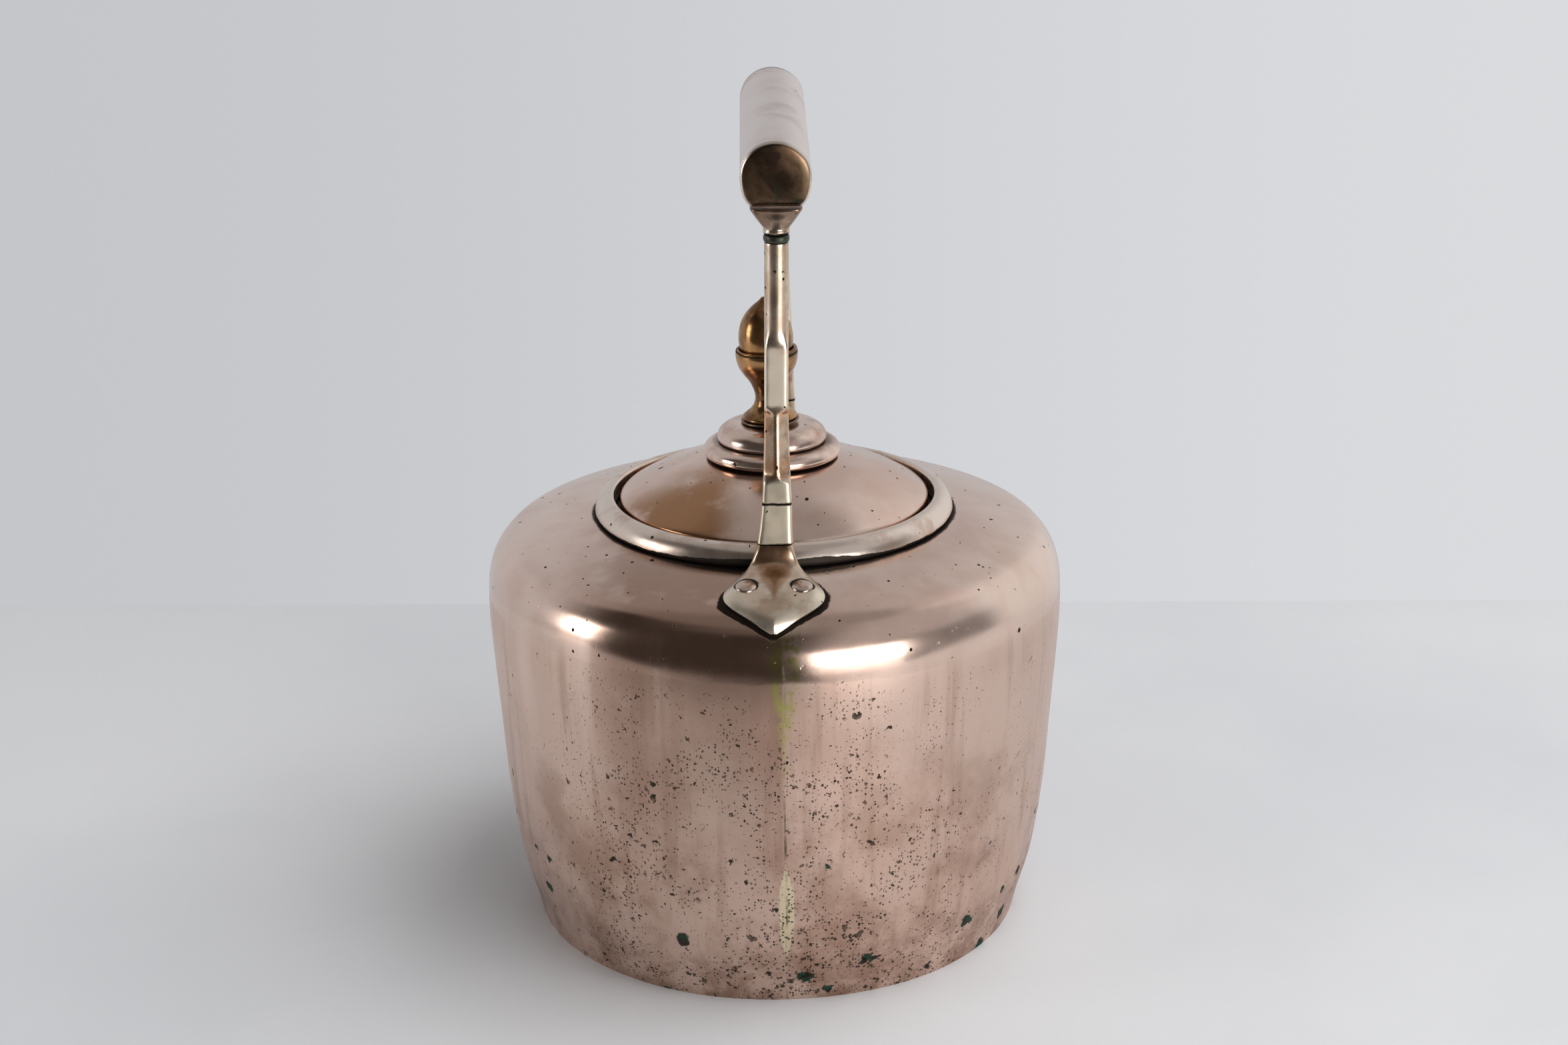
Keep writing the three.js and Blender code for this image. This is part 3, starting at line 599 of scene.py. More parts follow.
HANDLE_METAL = simple_metal(
    "handle_brass", (0.88, 0.74, 0.60), (0.60, 0.43, 0.31), 0.45, (0.2, 0.3), 90, 0.22,
    grime=((0.1618, 0.0005), (0.1756, 0.0005), (0.2664, 0.0006)),
    zones=(
        (0.150, 0.1825, (0.84, 0.73, 0.56), 0.16), (0.1835, 0.2075, (0.58, 0.32, 0.18), 0.0),
        # The darker tint from 231 to 265.5 mm is painted shade: the round upper stem's dark reflection of the room.
        (0.2090, 0.2285, (0.88, 0.78, 0.64), 0.24), (0.2310, 0.2655, (0.60, 0.44, 0.32), 0.08),
        # The dark brown tint from 268.5 mm up is partly the saddle's own dark copper and partly painted shade for its
        # dark reflection.
        (0.2685, 0.2900, (0.24, 0.15, 0.10), 0.0),
    ))
KNOB_METAL = simple_metal("knob_brass", (0.52, 0.28, 0.12), (0.20, 0.10, 0.045), 0.6, (0.17, 0.27), 80, 0.08,
                          grime=((0.2116, 0.0004),))
GRIP_METAL = simple_metal("grip_copper", (0.90, 0.80, 0.76), (0.76, 0.64, 0.58), 0.4, (0.3, 0.42), 40, 0.03)
# Painted shade: the end caps' dark brown base colour stands for the dark room that their end faces reflect.
CAP_METAL_PAINTED_SHADE = simple_metal("cap_metal_painted_shade", (0.25, 0.15, 0.09), (0.06, 0.038, 0.026), 0.6, (0.26, 0.4), 110, 0.25, 0.15,
                         kind="cap")
KNOB_RING_METAL = simple_metal("knob_ring_metal", (0.24, 0.17, 0.11), (0.08, 0.06, 0.04), 0.6, (0.28, 0.42))
COLLAR_METAL = simple_metal("collar_metal", (0.10, 0.10, 0.075), (0.03, 0.045, 0.035), 0.6, (0.35, 0.5), 200, 0.3, 0.7)
INNER_METAL = simple_metal("inner_tinned", (0.42, 0.36, 0.32), (0.24, 0.17, 0.13), 0.5, (0.4, 0.6), 60, 0.2)
RIVET_METAL = simple_metal("rivet_copper", (0.74, 0.58, 0.49), (0.42, 0.28, 0.22), 0.5, (0.16, 0.28), 160, 0.1)


# ---------- body ----------
def body_outline():
    shoulder = [(radius, shoulder_height(radius)) for radius in (87, 80, 73, RING_OUTER)]
    return flowing(WALL + TURN + shoulder, 8)


def closed_sheet(outline, thickness):
    return outline + inset_line(outline, thickness)[::-1]


def build_body():
    skin = body_outline()
    split = next(i for i, point in enumerate(skin) if point[0] > 100 and point[1] >= WALL_TOP)
    wall = turned_mesh("wall_skin", closed_sheet(skin[: split + 1], SHEET), amount=0.35, scale=0.018)
    height, half_width, half_height = SPOUT_HOLE
    cutter = loft_mesh("spout_hole", [
        [(half_width * math.cos(a), reach, height + half_height * math.sin(a))
         for a in (2 * math.pi * i / 64 for i in range(64))]
        for reach in (75, 115)
    ])
    cut = wall.modifiers.new("hole", "BOOLEAN")
    cut.object = cutter
    cut.solver = "EXACT"
    cut_mesh = bpy.data.meshes.new_from_object(wall.evaluated_get(bpy.context.evaluated_depsgraph_get()))
    wall.modifiers.clear()
    wall.data = cut_mesh
    wall.data.shade_smooth()
    wall.data.set_sharp_from_angle(angle=math.radians(38))
    bpy.data.objects.remove(cutter)
    finish_piece(wall, WALL_METAL, "kettle", "copper", "body_wall")

    seat = [(64.5, SHOULDER_TOP), (MOUTH_RADIUS + 0.3, SHOULDER_TOP), (MOUTH_RADIUS, SHOULDER_TOP - 0.3)]
    top = turned_mesh("shoulder_skin", closed_sheet(skin[split:] + seat, SHEET), amount=0.35, scale=0.018)
    finish_piece(top, SHOULDER_METAL, "kettle", "copper", "body_shoulder")

    foot = SHOULDER_TOP + 0.3
    crown = [
        (RING_INNER + 1.2 + (RING_OUTER - RING_INNER - 1.2) * math.cos(a), foot + (RING_TOP - foot) * math.sin(a))
        for a in (math.radians(8 + 82 * i / 16) for i in range(17))
    ]
    ring = turned_mesh("ring_skin", [
        (RING_INNER, foot), (RING_OUTER - 0.5, foot), *crown, (RING_INNER + 0.45, RING_TOP - 0.15),
        (RING_INNER + 0.1, RING_TOP - 0.5), (RING_INNER, RING_TOP - 1.0),
    ], amount=0.25, scale=0.03)
    finish_piece(ring, RING_METAL, "kettle", "brass", "mouth_ring")


def build_lid():
    top = [(radius, lid_height(radius)) for radius in (3.2, 8, 14, 20, 26, 32, 37, 42, 46, 50, 53, 54.8)]
    under = inset_line(top, -THIN)
    edge = [
        (LID_RADIUS - 0.6, LID_EDGE_TOP + 0.15), (LID_RADIUS - 0.15, LID_EDGE_TOP - 0.3),
        (LID_RADIUS, LID_EDGE_TOP - 1.0), (LID_RADIUS, LID_SEAT), (LID_RADIUS - THIN, LID_SEAT),
        (LID_RADIUS - THIN, LID_EDGE_TOP - 1.6),
    ]
    dome = turned_mesh("lid_skin", top + edge + under[:-1][::-1], amount=0.25, scale=0.03)
    finish_piece(dome, LID_METAL, "lid", "copper", "lid_dome")
    skirt_top = lid_height(LID_SKIRT_RADIUS) - THIN * 1.3 - 0.3
    skirt = turned_mesh("lid_skirt_skin", [
        (LID_SKIRT_RADIUS - THIN, LID_SKIRT_BOTTOM + 0.3), (LID_SKIRT_RADIUS - THIN + 0.3, LID_SKIRT_BOTTOM),
        (LID_SKIRT_RADIUS - 0.3, LID_SKIRT_BOTTOM), (LID_SKIRT_RADIUS, LID_SKIRT_BOTTOM + 0.3),
        (LID_SKIRT_RADIUS, skirt_top), (LID_SKIRT_RADIUS - THIN, skirt_top),
    ], around=AROUND // 2)
    finish_piece(skirt, INNER_METAL, "lid", "brown_copper", "lid_skirt")

    def lean(point):
        turned = Matrix.Rotation(-KNOB_LEAN, 3, "Y") @ Vector((point[0], point[1], point[2] - KNOB_PIVOT))
        return (turned.x + KNOB_OFFSET, turned.y, turned.z + KNOB_PIVOT)

    def knob_piece(name, outline, material, slot, node, around=96, place=lean):
        piece = turned_mesh(name, outline, around=around, place=place)
        finish_piece(piece, material, "lid", slot, node)

    def aside(point):
        return (point[0] + KNOB_OFFSET, point[1], point[2])

    lower = flowing([
        (23.4, 173.2), (24.3, 173.5), (24.75, 174.6), (24.5, 176.0), (23.5, 177.2), (21.9, 177.9), (19.8, 178.1),
    ])
    knob_piece("step_lower", [
        (STEP_HOLE, lid_height(3) + 0.5), (12, lid_height(12) + 0.5), *lower, (STEP_HOLE, 178.1),
    ], STEP_METAL, "copper", "finial_step_lower", 128, aside)
    upper = flowing([
        (18.6, 178.3), (19.4, 178.6), (19.75, 179.6), (19.4, 181.3), (18.2, 182.9), (16.3, 184.1),
        (13.9, 184.75), (11.4, 184.9),
    ])
    knob_piece("step_upper", [(STEP_HOLE, 178.3), *upper, (STEP_HOLE, 184.9)],
               STEP_METAL, "copper", "finial_step_upper", 128, aside)
    knob_piece("foot_ring", [
        (STUD_HOLE, 185.6), *flowing([(9.9, 185.6), (10.4, 185.75), (10.5, 186.0), (10.4, 186.3), (9.9, 186.4)], 3),
        (STUD_HOLE, 186.4),
    ], KNOB_RING_METAL, "dark_brass", "knob_ring")
    stem = flowing([
        (9.3, 186.7), (9.85, 187.0), (9.7, 187.7), (8.8, 188.5), (7.2, 189.8), (5.8, 191.5), (5.0, 193.7),
        (5.05, 196.0), (5.8, 198.5), (7.1, 201.0), (9.0, 203.6), (10.5, 206.5), (11.15, 209.6), (11.15, 211.4),
        (10.9, 212.4), (10.3, 212.6), (9.8, 212.4),
    ])
    knob_piece("knob_stem", [
        (STUD_HOLE, 186.7), *stem, (9.4, 211.1), (9.2, 210.8), (0, 210.8), (0, 196), (STUD_HOLE, 196),
    ], KNOB_METAL, "orange_brass", "acorn_stem")
    nut = flowing([
        (9.1, 211.1), (9.35, 212.1), (9.7, 214.1), (9.8, 216.7), (9.45, 219.5), (8.6, 222.4), (7.1, 225.1),
        (5.2, 227.2), (3.5, 228.7), (2.3, 229.6), (1.6, 230.3), (0.9, 231.0), (0.4, 231.2),
    ])
    knob_piece("knob_nut_top", [(0, 211.0), (8.6, 211.0), *nut, (0, 231.25)], KNOB_METAL, "orange_brass", "acorn_nut")


# ---------- handle ----------
# back reach and height, front reach and height, half width of the neck's rings, from the plate upward
NECK = [
    (76.0, 150.8, 76.9, 154.3, 13.6), (72.6, 151.7, 74.1, 155.1, 11.3), (69.8, 152.3, 72.1, 155.9, 9.7),
    (67.8, 153.3, 71.2, 157.0, 8.6), (66.5, 154.9, 70.6, 158.1, 7.8), (65.2, 157.0, 70.0, 159.5, 7.1),
    (63.4, 159.2, 69.5, 160.8, 6.5), (61.3, 161.6, 69.0, 161.6, 6.15),
]
STEM_PATH = [                 # height, reach, half width, half depth
    (162.0, 65.1, 6.05, 3.85), (168.5, 63.9, 5.45, 3.85), (175.5, 62.8, 5.05, 3.8), (182, 61.7, 4.7, 3.75),
    (190, 60.5, 4.42, 3.7), (200, 59.4, 4.15, 3.65), (209, 58.5, 4.05, 3.6), (220, 57.2, 4.05, 3.7),
    (228, 56.3, 4.05, 3.9), (234, 55.7, 4.1, 4.1), (244, 55.5, 4.1, 4.1), (263.6, 55.5, 4.1, 4.1),
]


def shoulder_skin():
    """Reach, height, outward normal and length along the skin of points from the wall's top inward."""
    line = [Vector(point) for point in body_outline() if point[1] > 128]
    rows = []
    length = 0
    for i, point in enumerate(line):
        along = (line[min(i + 1, len(line) - 1)] - line[max(i - 1, 0)]).normalized()
        length += (point - line[i - 1]).length if i else 0
        rows.append((point, Vector((along.y, -along.x)), length))
    return rows


def skin_at(rows, reach):
    for (p0, n0, s0), (p1, n1, s1) in zip(rows, rows[1:]):
        if p1.x <= reach <= p0.x:
            t = (p0.x - reach) / (p0.x - p1.x)
            return p0.lerp(p1, t), n0.lerp(n1, t), s0 + (s1 - s0) * t
    return rows[-1]


def foot_edge_distance(outline, x, along):
    """Distance of a place on the plate, seen square to the skin, from the plate's edge."""
    place = Vector((abs(x), along))
    nearest = 1e9
    for start, end in zip(outline, outline[1:]):
        span = end - start
        t = min(max((place - start).dot(span) / span.length_squared, 0), 1)
        nearest = min(nearest, (place - start - span * t).length)
    return nearest


def foot_outline(rows):
    curve = flowing(FOOT_HALF_WIDTH, 3) + [(99.9, 0.0)]
    return [Vector((half, skin_at(rows, reach)[2])) for reach, half in curve]


def relaxed(rings, first, rounds=10):
    """Smooths a loft lengthwise from the given ring on, keeping its last ring."""
    for _ in range(rounds):
        moved = [
            [tuple((Vector(a) + 2 * Vector(b) + Vector(c)) / 4) for a, b, c in zip(*rings[i - 1: i + 2])]
            for i in range(first, len(rings) - 2)
        ]
        rings = rings[:first] + moved + rings[-2:]
    return rings


def foot_rings(direction):
    """Rings of the riveted foot from the plate's tip to the top of the neck."""
    rows = shoulder_skin()
    outline = foot_outline(rows)
    count = 56
    shares = [math.copysign(abs(-1 + 2 * i / count) ** 0.7, i - count / 2) for i in range(count + 1)]
    rings = []
    reach = 99.75
    while reach > 77:
        point, normal, along = skin_at(rows, reach)
        half = table_value(FOOT_HALF_WIDTH, reach)
        wedge = 4.8 * smooth_step(93, 76, reach)
        ring = []
        for share in shares:
            x = share * half
            bevel = min(foot_edge_distance(outline, x, along) / FOOT_BEVEL, 1)
            top = FOOT_EDGE + (FOOT_CREST - FOOT_EDGE) * (1 - (1 - bevel) ** 1.7)
            ridge = 1.2 * smooth_step(93, 76, reach) * math.exp(-((x / max(wedge, 0.8)) ** 2))
            ring.append((x, point + normal * (FOOT_LIFT + top + ridge)))
        for share in shares[-2:0:-1]:
            ring.append((share * half * 0.995, point + normal * FOOT_LIFT))
        rings.append(ring)
        reach -= 0.25 if reach > 98 else 0.7
    neck = flowing(NECK, 5)
    for i, (low_r, low_z, high_r, high_z, half) in enumerate(neck):
        low, high = Vector((low_r, low_z)), Vector((high_r, high_z))
        flat = smooth_step(0, 0.8, i / (len(neck) - 1))
        ring = []
        for share in shares:
            u = abs(share)
            slab = 0.28 + 0.50 * (1 - (1 - min((1 - u) * half / FOOT_BEVEL, 1)) ** 1.7)
            wedge = 0.26 * math.exp(-((share * half / 4.8) ** 2))
            block_ = (1 - u ** 9) ** 0.3
            ring.append((share * half, low.lerp(high, max((slab + wedge) * (1 - flat) + flat * block_, 0.02))))
        for share in shares[-2:0:-1]:
            back = flat * (1 - (1 - abs(share) ** 9) ** 0.3) * 0.45
            ring.append((share * half * 0.995, low.lerp(high, back)))
        rings.append(ring)
    rings = [[(x * direction, at.x * direction, at.y) for x, at in ring] for ring in rings]
    return relaxed(rings, 16)


def upright_rings(low, high, direction, lift=0.0, step=0.9):
    rows = flowing(STEM_PATH, 10)
    rings = []
    count = max(int((high - low) / step), 4)
    for i in range(count + 1):
        height = low + (high - low) * i / count
        row = min(range(len(rows) - 1), key=lambda k: abs(rows[k][0] - height) + (rows[k][0] > height) * 1e-3)
        row = max(row - (rows[row][0] > height), 0)
        t = (height - rows[row][0]) / (rows[row + 1][0] - rows[row][0])
        reach, half_width, half_depth = (a + (b - a) * t for a, b in zip(rows[row][1:], rows[row + 1][1:]))
        ridged = smooth_step(181.6, 185.6, height) - smooth_step(205.2, 209.2, height)
        ridge_flat = half_width * 1.15 + (0.45 - half_width * 1.15) * ridged
        roundness = smooth_step(227.5, 234, height)
        rings.append(bar_ring(reach, height + lift * smooth_step(234, 263.6, height), half_width, half_depth,
                              ridge_flat, roundness, direction))
    return rings


def eased_ends(rings, amount):
    """Rounds off the two end faces of a loft by shrinking copies of its end rings."""
    def shrunk(ring, part, shift):
        centre = sum((Vector(point) for point in ring), Vector()) / len(ring)
        return [tuple(centre + (Vector(point) - centre) * part + Vector((0, 0, shift))) for point in ring]
    low, high = rings[0], rings[-1]
    span = max(abs(low[0][0] - sum(p[0] for p in low) / len(low)), 3)
    part = 1 - amount / max(span, 1)
    start = [shrunk(low, part, 0), shrunk(low, 1 - (1 - part) * 0.3, amount * 0.3)]
    end = [shrunk(high, 1 - (1 - part) * 0.3, -amount * 0.3), shrunk(high, part, 0)]
    low_shift = [tuple(Vector(p) + Vector((0, 0, amount))) for p in low]
    high_shift = [tuple(Vector(p) - Vector((0, 0, amount))) for p in high]
    return start + [low_shift] + rings[1:-1] + [high_shift] + end


def grip_section(inset, count=96):
    """Points (x, z) of the grip's section: round above, flat below."""
    radius, keel, keel_half = GRIP_RADIUS - inset, GRIP_KEEL - inset, GRIP_KEEL_HALF - inset * 0.7
    points = []
    for i in range(count // 2):
        angle = math.pi * i / (count // 2)
        points.append((radius * math.cos(angle), radius * math.sin(angle)))
    side = count // 6
    for i in range(side):
        t = i / side
        x = -((1 - t) ** 2 * radius + 2 * t * (1 - t) * radius + t * t * keel_half)
        points.append((x, -(2 * t * (1 - t) * keel * 0.75 + t * t * keel)))
    for i in range(count - count // 2 - 2 * side):
        t = i / (count - count // 2 - 2 * side)
        points.append((-keel_half + 2 * keel_half * t, -keel))
    for i in range(side):
        t = 1 - i / side
        x = (1 - t) ** 2 * radius + 2 * t * (1 - t) * radius + t * t * keel_half
        points.append((x, -(2 * t * (1 - t) * keel * 0.75 + t * t * keel)))
    return points


def grip_ring(inset, along):
    ring = []
    for x, z in grip_section(inset):
        turned = Matrix.Rotation(GRIP_RISE, 3, "X") @ Vector((x, along, z))
        ring.append(settled((turned.x, turned.y, turned.z + GRIP_HEIGHT)))
    return ring


def saddle_rings(direction, lift):
    """Level rings of the flared saddle: round at the collar, wide and thin under the grip."""
    top = GRIP_HEIGHT - GRIP_KEEL - 0.3 - math.tan(GRIP_RISE) * 61 + lift
    rows = [
        (266.4, 3.95, 3.95, 0.0), (266.7, 4.3, 4.25, 0.0), (267.4, 4.5, 4.4, 0.0), (268.1, 4.3, 4.2, 0.0),
        (268.8, 4.55, 4.2, 0.1), (270.3, 5.75, 4.4, 0.2), (271.9, 6.95, 4.7, 0.35), (273.6, 8.1, 4.95, 0.5),
        (top - 0.6 - lift, 8.7, 5.15, 0.7), (top - lift, 8.7, 5.2, 0.7),
    ]
    rings = []
    for height, half_width, half_depth, square in flowing(rows, 4):
        rings.append(bar_ring(UPRIGHT_REACH - 0.2, min(height + lift, top), half_width, half_depth,
                              half_width * 1.15, 1 - square, direction))
    return rings


def rivet_place(side, direction):
    slope = (shoulder_height(RIVET_REACH + 1) - shoulder_height(RIVET_REACH - 1)) / 2
    tilt = Matrix.Rotation(math.atan(slope), 3, "X")

    def place(point):
        moved = tilt @ Vector(point) + Vector((side * RIVET_SPREAD, RIVET_REACH, shoulder_height(RIVET_REACH)))
        return (moved.x * direction + FOOT_OFFSET, moved.y * direction, moved.z)
    return place


def build_support(label, direction):
    lift = 2 * math.tan(GRIP_RISE) * UPRIGHT_REACH if direction > 0 else 0.0
    foot = loft_mesh(f"{label}_foot_skin", settled_rings(foot_rings(direction)), sharp=60)
    finish_piece(foot, FOOT_METAL, "kettle", "brass", f"{label}_foot")
    ferrule = settled_rings(eased_ends(upright_rings(161.9, 175.4, direction), 0.25))
    finish_piece(loft_mesh(f"{label}_ferrule_skin", ferrule), HANDLE_METAL, "kettle", "brass", f"{label}_ferrule")
    stem = settled_rings(eased_ends(upright_rings(175.7, 263.6, direction, lift), 0.25))
    finish_piece(loft_mesh(f"{label}_stem_skin", stem), HANDLE_METAL, "kettle", "brass", f"{label}_stem")

    low, high = 263.9 + lift, 266.1 + lift
    middle = (low + high) / 2

    def on_upright(point):
        return settled((point[0], point[1] + UPRIGHT_REACH * direction, point[2]))
    collar = turned_mesh(f"{label}_collar_skin", [
        (0, low), *flowing([
            (STEM_RADIUS, low), (4.3, low + 0.3), (4.42, middle), (4.3, high - 0.3), (STEM_RADIUS, high),
        ], 4), (0, high),
    ], around=64, place=on_upright)
    finish_piece(collar, COLLAR_METAL, "kettle", "verdigris", f"{label}_collar")
    saddle = settled_rings(saddle_rings(direction, lift))
    finish_piece(loft_mesh(f"{label}_saddle_skin", saddle), HANDLE_METAL, "kettle", "brass", f"{label}_saddle")

    for side in (-1, 1):
        hand = "right" if side * direction > 0 else "left"
        top = FOOT_LIFT + FOOT_CREST - 0.35
        under = -SHEET - 0.6
        rivet = turned_mesh(f"{label}_rivet_skin_{hand}", [
            (0, under - 2.6), (2.2, under - 2.5), (2.9, under - 2.0), (3.0, under - 1.5), (1.8, under - 1.5),
            (1.8, top), *flowing([
                (3.3, top), (3.55, top + 0.2), (3.45, top + 0.6), (2.9, top + 1.0), (2.0, top + 1.3),
                (1.0, top + 1.45), (0.3, top + 1.5),
            ], 3), (0, top + 1.5),
        ], around=48, place=rivet_place(side, direction))
        finish_piece(rivet, RIVET_METAL, "kettle", "copper", f"{label}_rivet_{hand}")
        dress_cad([f"{label}_burr_{hand}"], RIVET_METAL)

    outer = GRIP_HALF * direction
    steps = [
        (THIN + 0.3, 4.5), (THIN + 0.3, 1.5), (0.2, 1.4), (0, 1.25), (0.1, 1.0), (0.4, 0.55), (0.9, 0.2),
        (1.6, 0.0), (3.5, -0.12), (7, -0.25),
    ]
    cap = loft_mesh(f"{label}_cap_skin", [grip_ring(inset, outer - back * direction) for inset, back in steps])
    finish_piece(cap, CAP_METAL_PAINTED_SHADE, "kettle", "dark_brass", f"{label}_end_cap")


def build_grip():
    end = GRIP_HALF - 1.6
    steps = 24
    outside = [grip_ring(0, -end + 0.3 + (2 * end - 0.6) * i / steps) for i in range(steps + 1)]
    inside = [grip_ring(THIN, end), grip_ring(THIN, -end)]
    tube = loft_mesh("grip_skin", [grip_ring(0.3, -end), *outside, grip_ring(0.3, end), *inside], closed_ends=False)
    finish_piece(tube, GRIP_METAL, "kettle", "copper", "grip_tube")


# ---------- spout ----------
def spout_ring(row, before, after, inset, count=64):
    reach, height, half_width, half_height = row
    along = Vector((0, after[0] - before[0], after[1] - before[1])).normalized()
    deep = along.cross(Vector((1, 0, 0)))
    ring = []
    for i in range(count):
        angle = 2 * math.pi * i / count
        offset = Vector((math.cos(angle) * (half_width - inset), 0, 0)) + deep * math.sin(angle) * (half_height - inset)
        ring.append(tuple(Vector((0, reach, height)) + offset))
    return ring


def spout_rings(inset, rows):
    return [
        spout_ring(row, rows[max(i - 1, 0)], rows[min(i + 1, len(rows) - 1)], inset) for i, row in enumerate(rows)
    ]


def wall_radius(height):
    for (r0, z0), (r1, z1) in zip(WALL, WALL[1:]):
        if height <= z1:
            return r0 + (r1 - r0) * max(height - z0, 0) / (z1 - z0)
    return WALL[-1][0]


def on_wall(point, lift):
    """The point moved along Y so that it lies that far outside the wall."""
    radius = wall_radius(point[2]) + lift
    return (point[0], math.sqrt(max(radius ** 2 - point[0] ** 2, 1)), point[2])


def build_spout():
    rows = flowing(SPOUT, 6)
    outer = spout_rings(0, rows)
    inner = spout_rings(SPOUT_WALL, rows)

    def root(rings):
        """The rings from the flange on, with every point kept just outside the wall."""
        kept = []
        for ring in rings[SPOUT_ROOT:]:
            kept.append([max(point, on_wall(point, 0.3), key=lambda p: p[1]) for point in ring])
        return kept
    outside, inside = root(outer), root(inner)
    tube = loft_mesh("spout_skin", outside + inside[::-1], closed_ends=False)
    finish_piece(tube, SPOUT_METAL, "kettle", "copper", "spout_tube")

    flange = []
    for spread, lift in ((0.3, 0.35), (0.3, 2.0), (1.2, 2.1), (3.6, 1.5), (4.8, 1.0), (5.0, 0.35)):
        flange.append([on_wall(point, lift) for point in spout_ring(rows[SPOUT_ROOT], rows[SPOUT_ROOT - 1], rows[SPOUT_ROOT + 1], -spread)])
    collar = loft_mesh("spout_flange", flange, closed_ends=False)
    finish_piece(collar, RING_METAL, "kettle", "copper", "spout_collar")

    tip, before = SPOUT[-1], SPOUT[-2]
    angle = math.atan2(tip[0] - before[0], tip[1] - before[1])

    def at_tip(point):
        turned = Matrix.Rotation(-angle, 3, "X") @ Vector(point)
        return (turned.x, turned.y + tip[0], turned.z + tip[1])
    lip = turned_mesh("spout_lip_skin", [
        (6.7, 0.3), (8.3, 0.3), *flowing([(9.0, 0.6), (9.5, 1.5), (9.2, 2.4), (8.3, 2.85), (7.2, 2.75), (6.8, 2.3)], 4),
    ], around=96, place=at_tip)
    finish_piece(lip, RING_METAL, "kettle", "brass", "spout_lip")


build_body()
build_lid()
build_support("rear", -1)
build_support("front", 1)
build_grip()
build_spout()
dress_cad(["base_pan"], INNER_METAL)
dress_cad(["knob_washer", "knob_nut", "knob_stud"], RING_METAL)


# ---------- stage, light and camera ----------
FLOOR_SIDES = (-1.6, 1.6)
FLOOR_NEAR = -0.46
FLOOR_FAR = 0.30


def build_floor():
    mesh = bpy.data.meshes.new("floor")
    left, right = FLOOR_SIDES
    corners = [(left, FLOOR_NEAR, 0), (right, FLOOR_NEAR, 0), (right, FLOOR_FAR, 0), (left, FLOOR_FAR, 0)]
    mesh.from_pydata(corners, [], [(0, 1, 2, 3)])
    floor = bpy.data.objects.new("floor", mesh)
    bpy.context.collection.objects.link(floor)
    n = Nodes("floor_paint")
    shade = n.mix(n.ramp(n.noise(3, 4), 0.35, 0.65), (0.60, 0.61, 0.63), (0.66, 0.665, 0.68))
    normal = n.bump(n.noise(60, 5, 0.6), 0.0006, 0.3)
    mesh.materials.append(n.done(shade, 0.5, 0.0, normal))


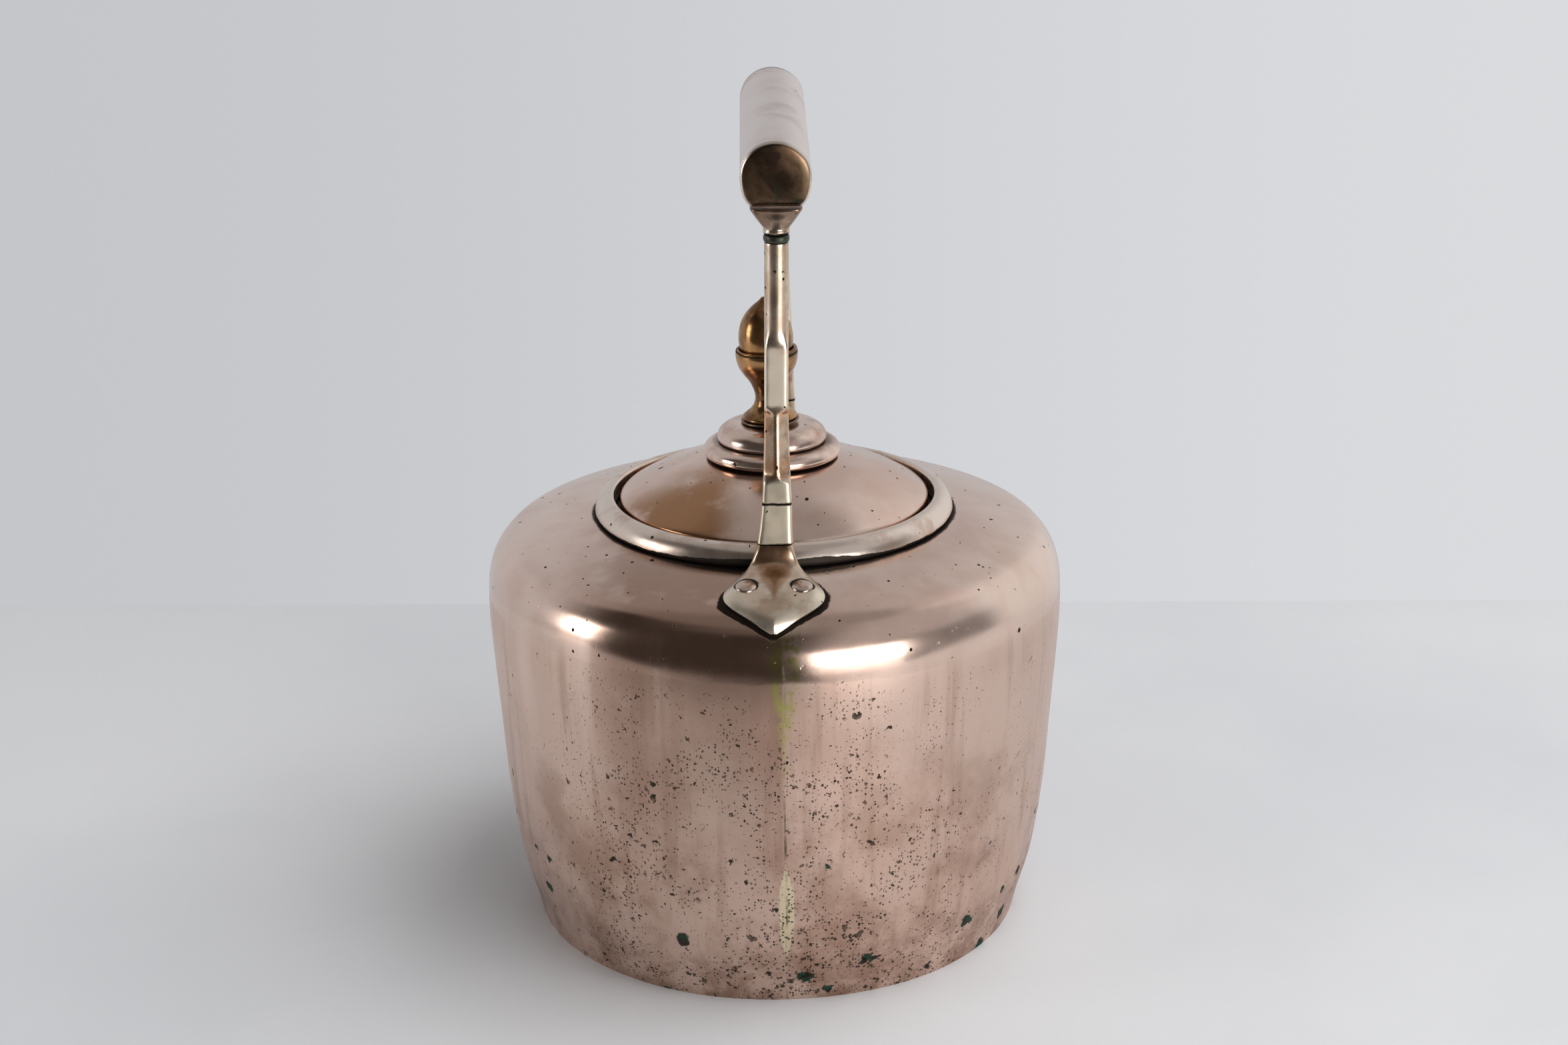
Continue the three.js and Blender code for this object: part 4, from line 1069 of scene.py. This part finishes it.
def build_world():
    """Pale surroundings, dark on the near left side, as in a room lit from its windows."""
    world = bpy.data.worlds.new("room")
    bpy.context.scene.world = world
    world.use_nodes = True
    tree = world.node_tree
    tree.nodes.clear()
    output = tree.nodes.new("ShaderNodeOutputWorld")
    background = tree.nodes.new("ShaderNodeBackground")
    coordinates = tree.nodes.new("ShaderNodeTexCoord")
    parts = tree.nodes.new("ShaderNodeSeparateXYZ")
    tree.links.new(coordinates.outputs["Generated"], parts.inputs[0])
    right, back, up = parts.outputs

    def ramp(value, low, high):
        node = tree.nodes.new("ShaderNodeMapRange")
        node.interpolation_type = "SMOOTHSTEP"
        tree.links.new(value, node.inputs["Value"])
        node.inputs["From Min"].default_value = low
        node.inputs["From Max"].default_value = high
        return node.outputs["Result"]

    def blend(factor, first, second):
        node = tree.nodes.new("ShaderNodeMix")
        node.data_type = "RGBA"
        tree.links.new(factor, node.inputs["Factor"])
        for socket, value in zip(node.inputs[6:8], (first, second)):
            if hasattr(value, "links"):
                tree.links.new(value, socket)
            else:
                socket.default_value = (*value, 1)
        return node.outputs[2]
    far = blend(ramp(up, 0.3, 0.6), (0.52, 0.53, 0.55), (0.45, 0.45, 0.46))
    near_right = blend(ramp(up, 0.25, 0.5), (0.20, 0.20, 0.20), (0.46, 0.46, 0.47))
    near = blend(ramp(right, 0.15, 0.45), (0.06, 0.055, 0.05), near_right)
    far = blend(ramp(right, 0.05, 0.6), far, (0.74, 0.75, 0.76))
    room = blend(ramp(back, -0.05, 0.25), near, far)
    room = blend(ramp(up, 0.80, 0.93), room, (0.30, 0.295, 0.29))
    seen = blend(ramp(right, -0.32, 0.32), (0.555, 0.565, 0.59), (0.70, 0.71, 0.73))
    path = tree.nodes.new("ShaderNodeLightPath")
    shown = blend(path.outputs["Is Camera Ray"], room, seen)
    tree.links.new(shown, background.inputs["Color"])
    tree.links.new(background.outputs[0], output.inputs["Surface"])


def area_light(name, position, target, size, radiance, mirrored=True):
    data = bpy.data.lights.new(name, "AREA")
    data.shape = "RECTANGLE"
    data.size, data.size_y = size
    data.energy = radiance * math.pi * size[0] * size[1]
    light = bpy.data.objects.new(name, data)
    bpy.context.collection.objects.link(light)
    light.location = position
    light.rotation_euler = (Vector(target) - Vector(position)).to_track_quat("-Z", "Y").to_euler()
    light.visible_glossy = mirrored
    light.visible_camera = False


CAMERA_REACH = 0.8769
CAMERA_HEIGHT = 0.4498
CAMERA_PITCH = math.radians(19.1)
CAMERA_ROLL = math.radians(-0.55)
CAMERA_AZIMUTH = math.radians(0.9)
CAMERA_SIDE = 0.0036
LENS = 58.16


def build_camera():
    data = bpy.data.cameras.new("camera")
    data.lens = LENS
    data.sensor_width = 36
    data.clip_start = 0.01
    camera = bpy.data.objects.new("camera", data)
    bpy.context.collection.objects.link(camera)
    turn = Matrix.Rotation(CAMERA_AZIMUTH, 4, "Z")
    look = Matrix.Rotation(math.pi / 2 - CAMERA_PITCH, 4, "X")
    roll = Matrix.Rotation(CAMERA_ROLL, 4, "Z")
    place = Matrix.Translation((CAMERA_SIDE, -CAMERA_REACH, CAMERA_HEIGHT))
    camera.matrix_world = turn @ place @ look @ roll
    bpy.context.scene.camera = camera


build_floor()
build_world()
area_light("window_right", (0.742, -1.187, 0.30), (0, 0, 0.10), (0.86, 0.46), 5.5)
area_light("window_right_low", (0.742, -1.187, -0.06), (0, 0, 0.10), (0.86, 0.26), 1.6)
area_light("window_left", (-1.18, -0.24, 0.42), (0, 0, 0.10), (0.36, 0.50), 4.5)
area_light("window_left_low", (-1.18, -0.24, 0.04), (0, 0, 0.10), (0.36, 0.24), 1.0)
area_light("soft_above", (0.85, -0.15, 1.6), (0, 0, 0), (1.6, 1.6), 3.4, False)
build_camera()
bpy.context.scene.view_settings.view_transform = "Standard"
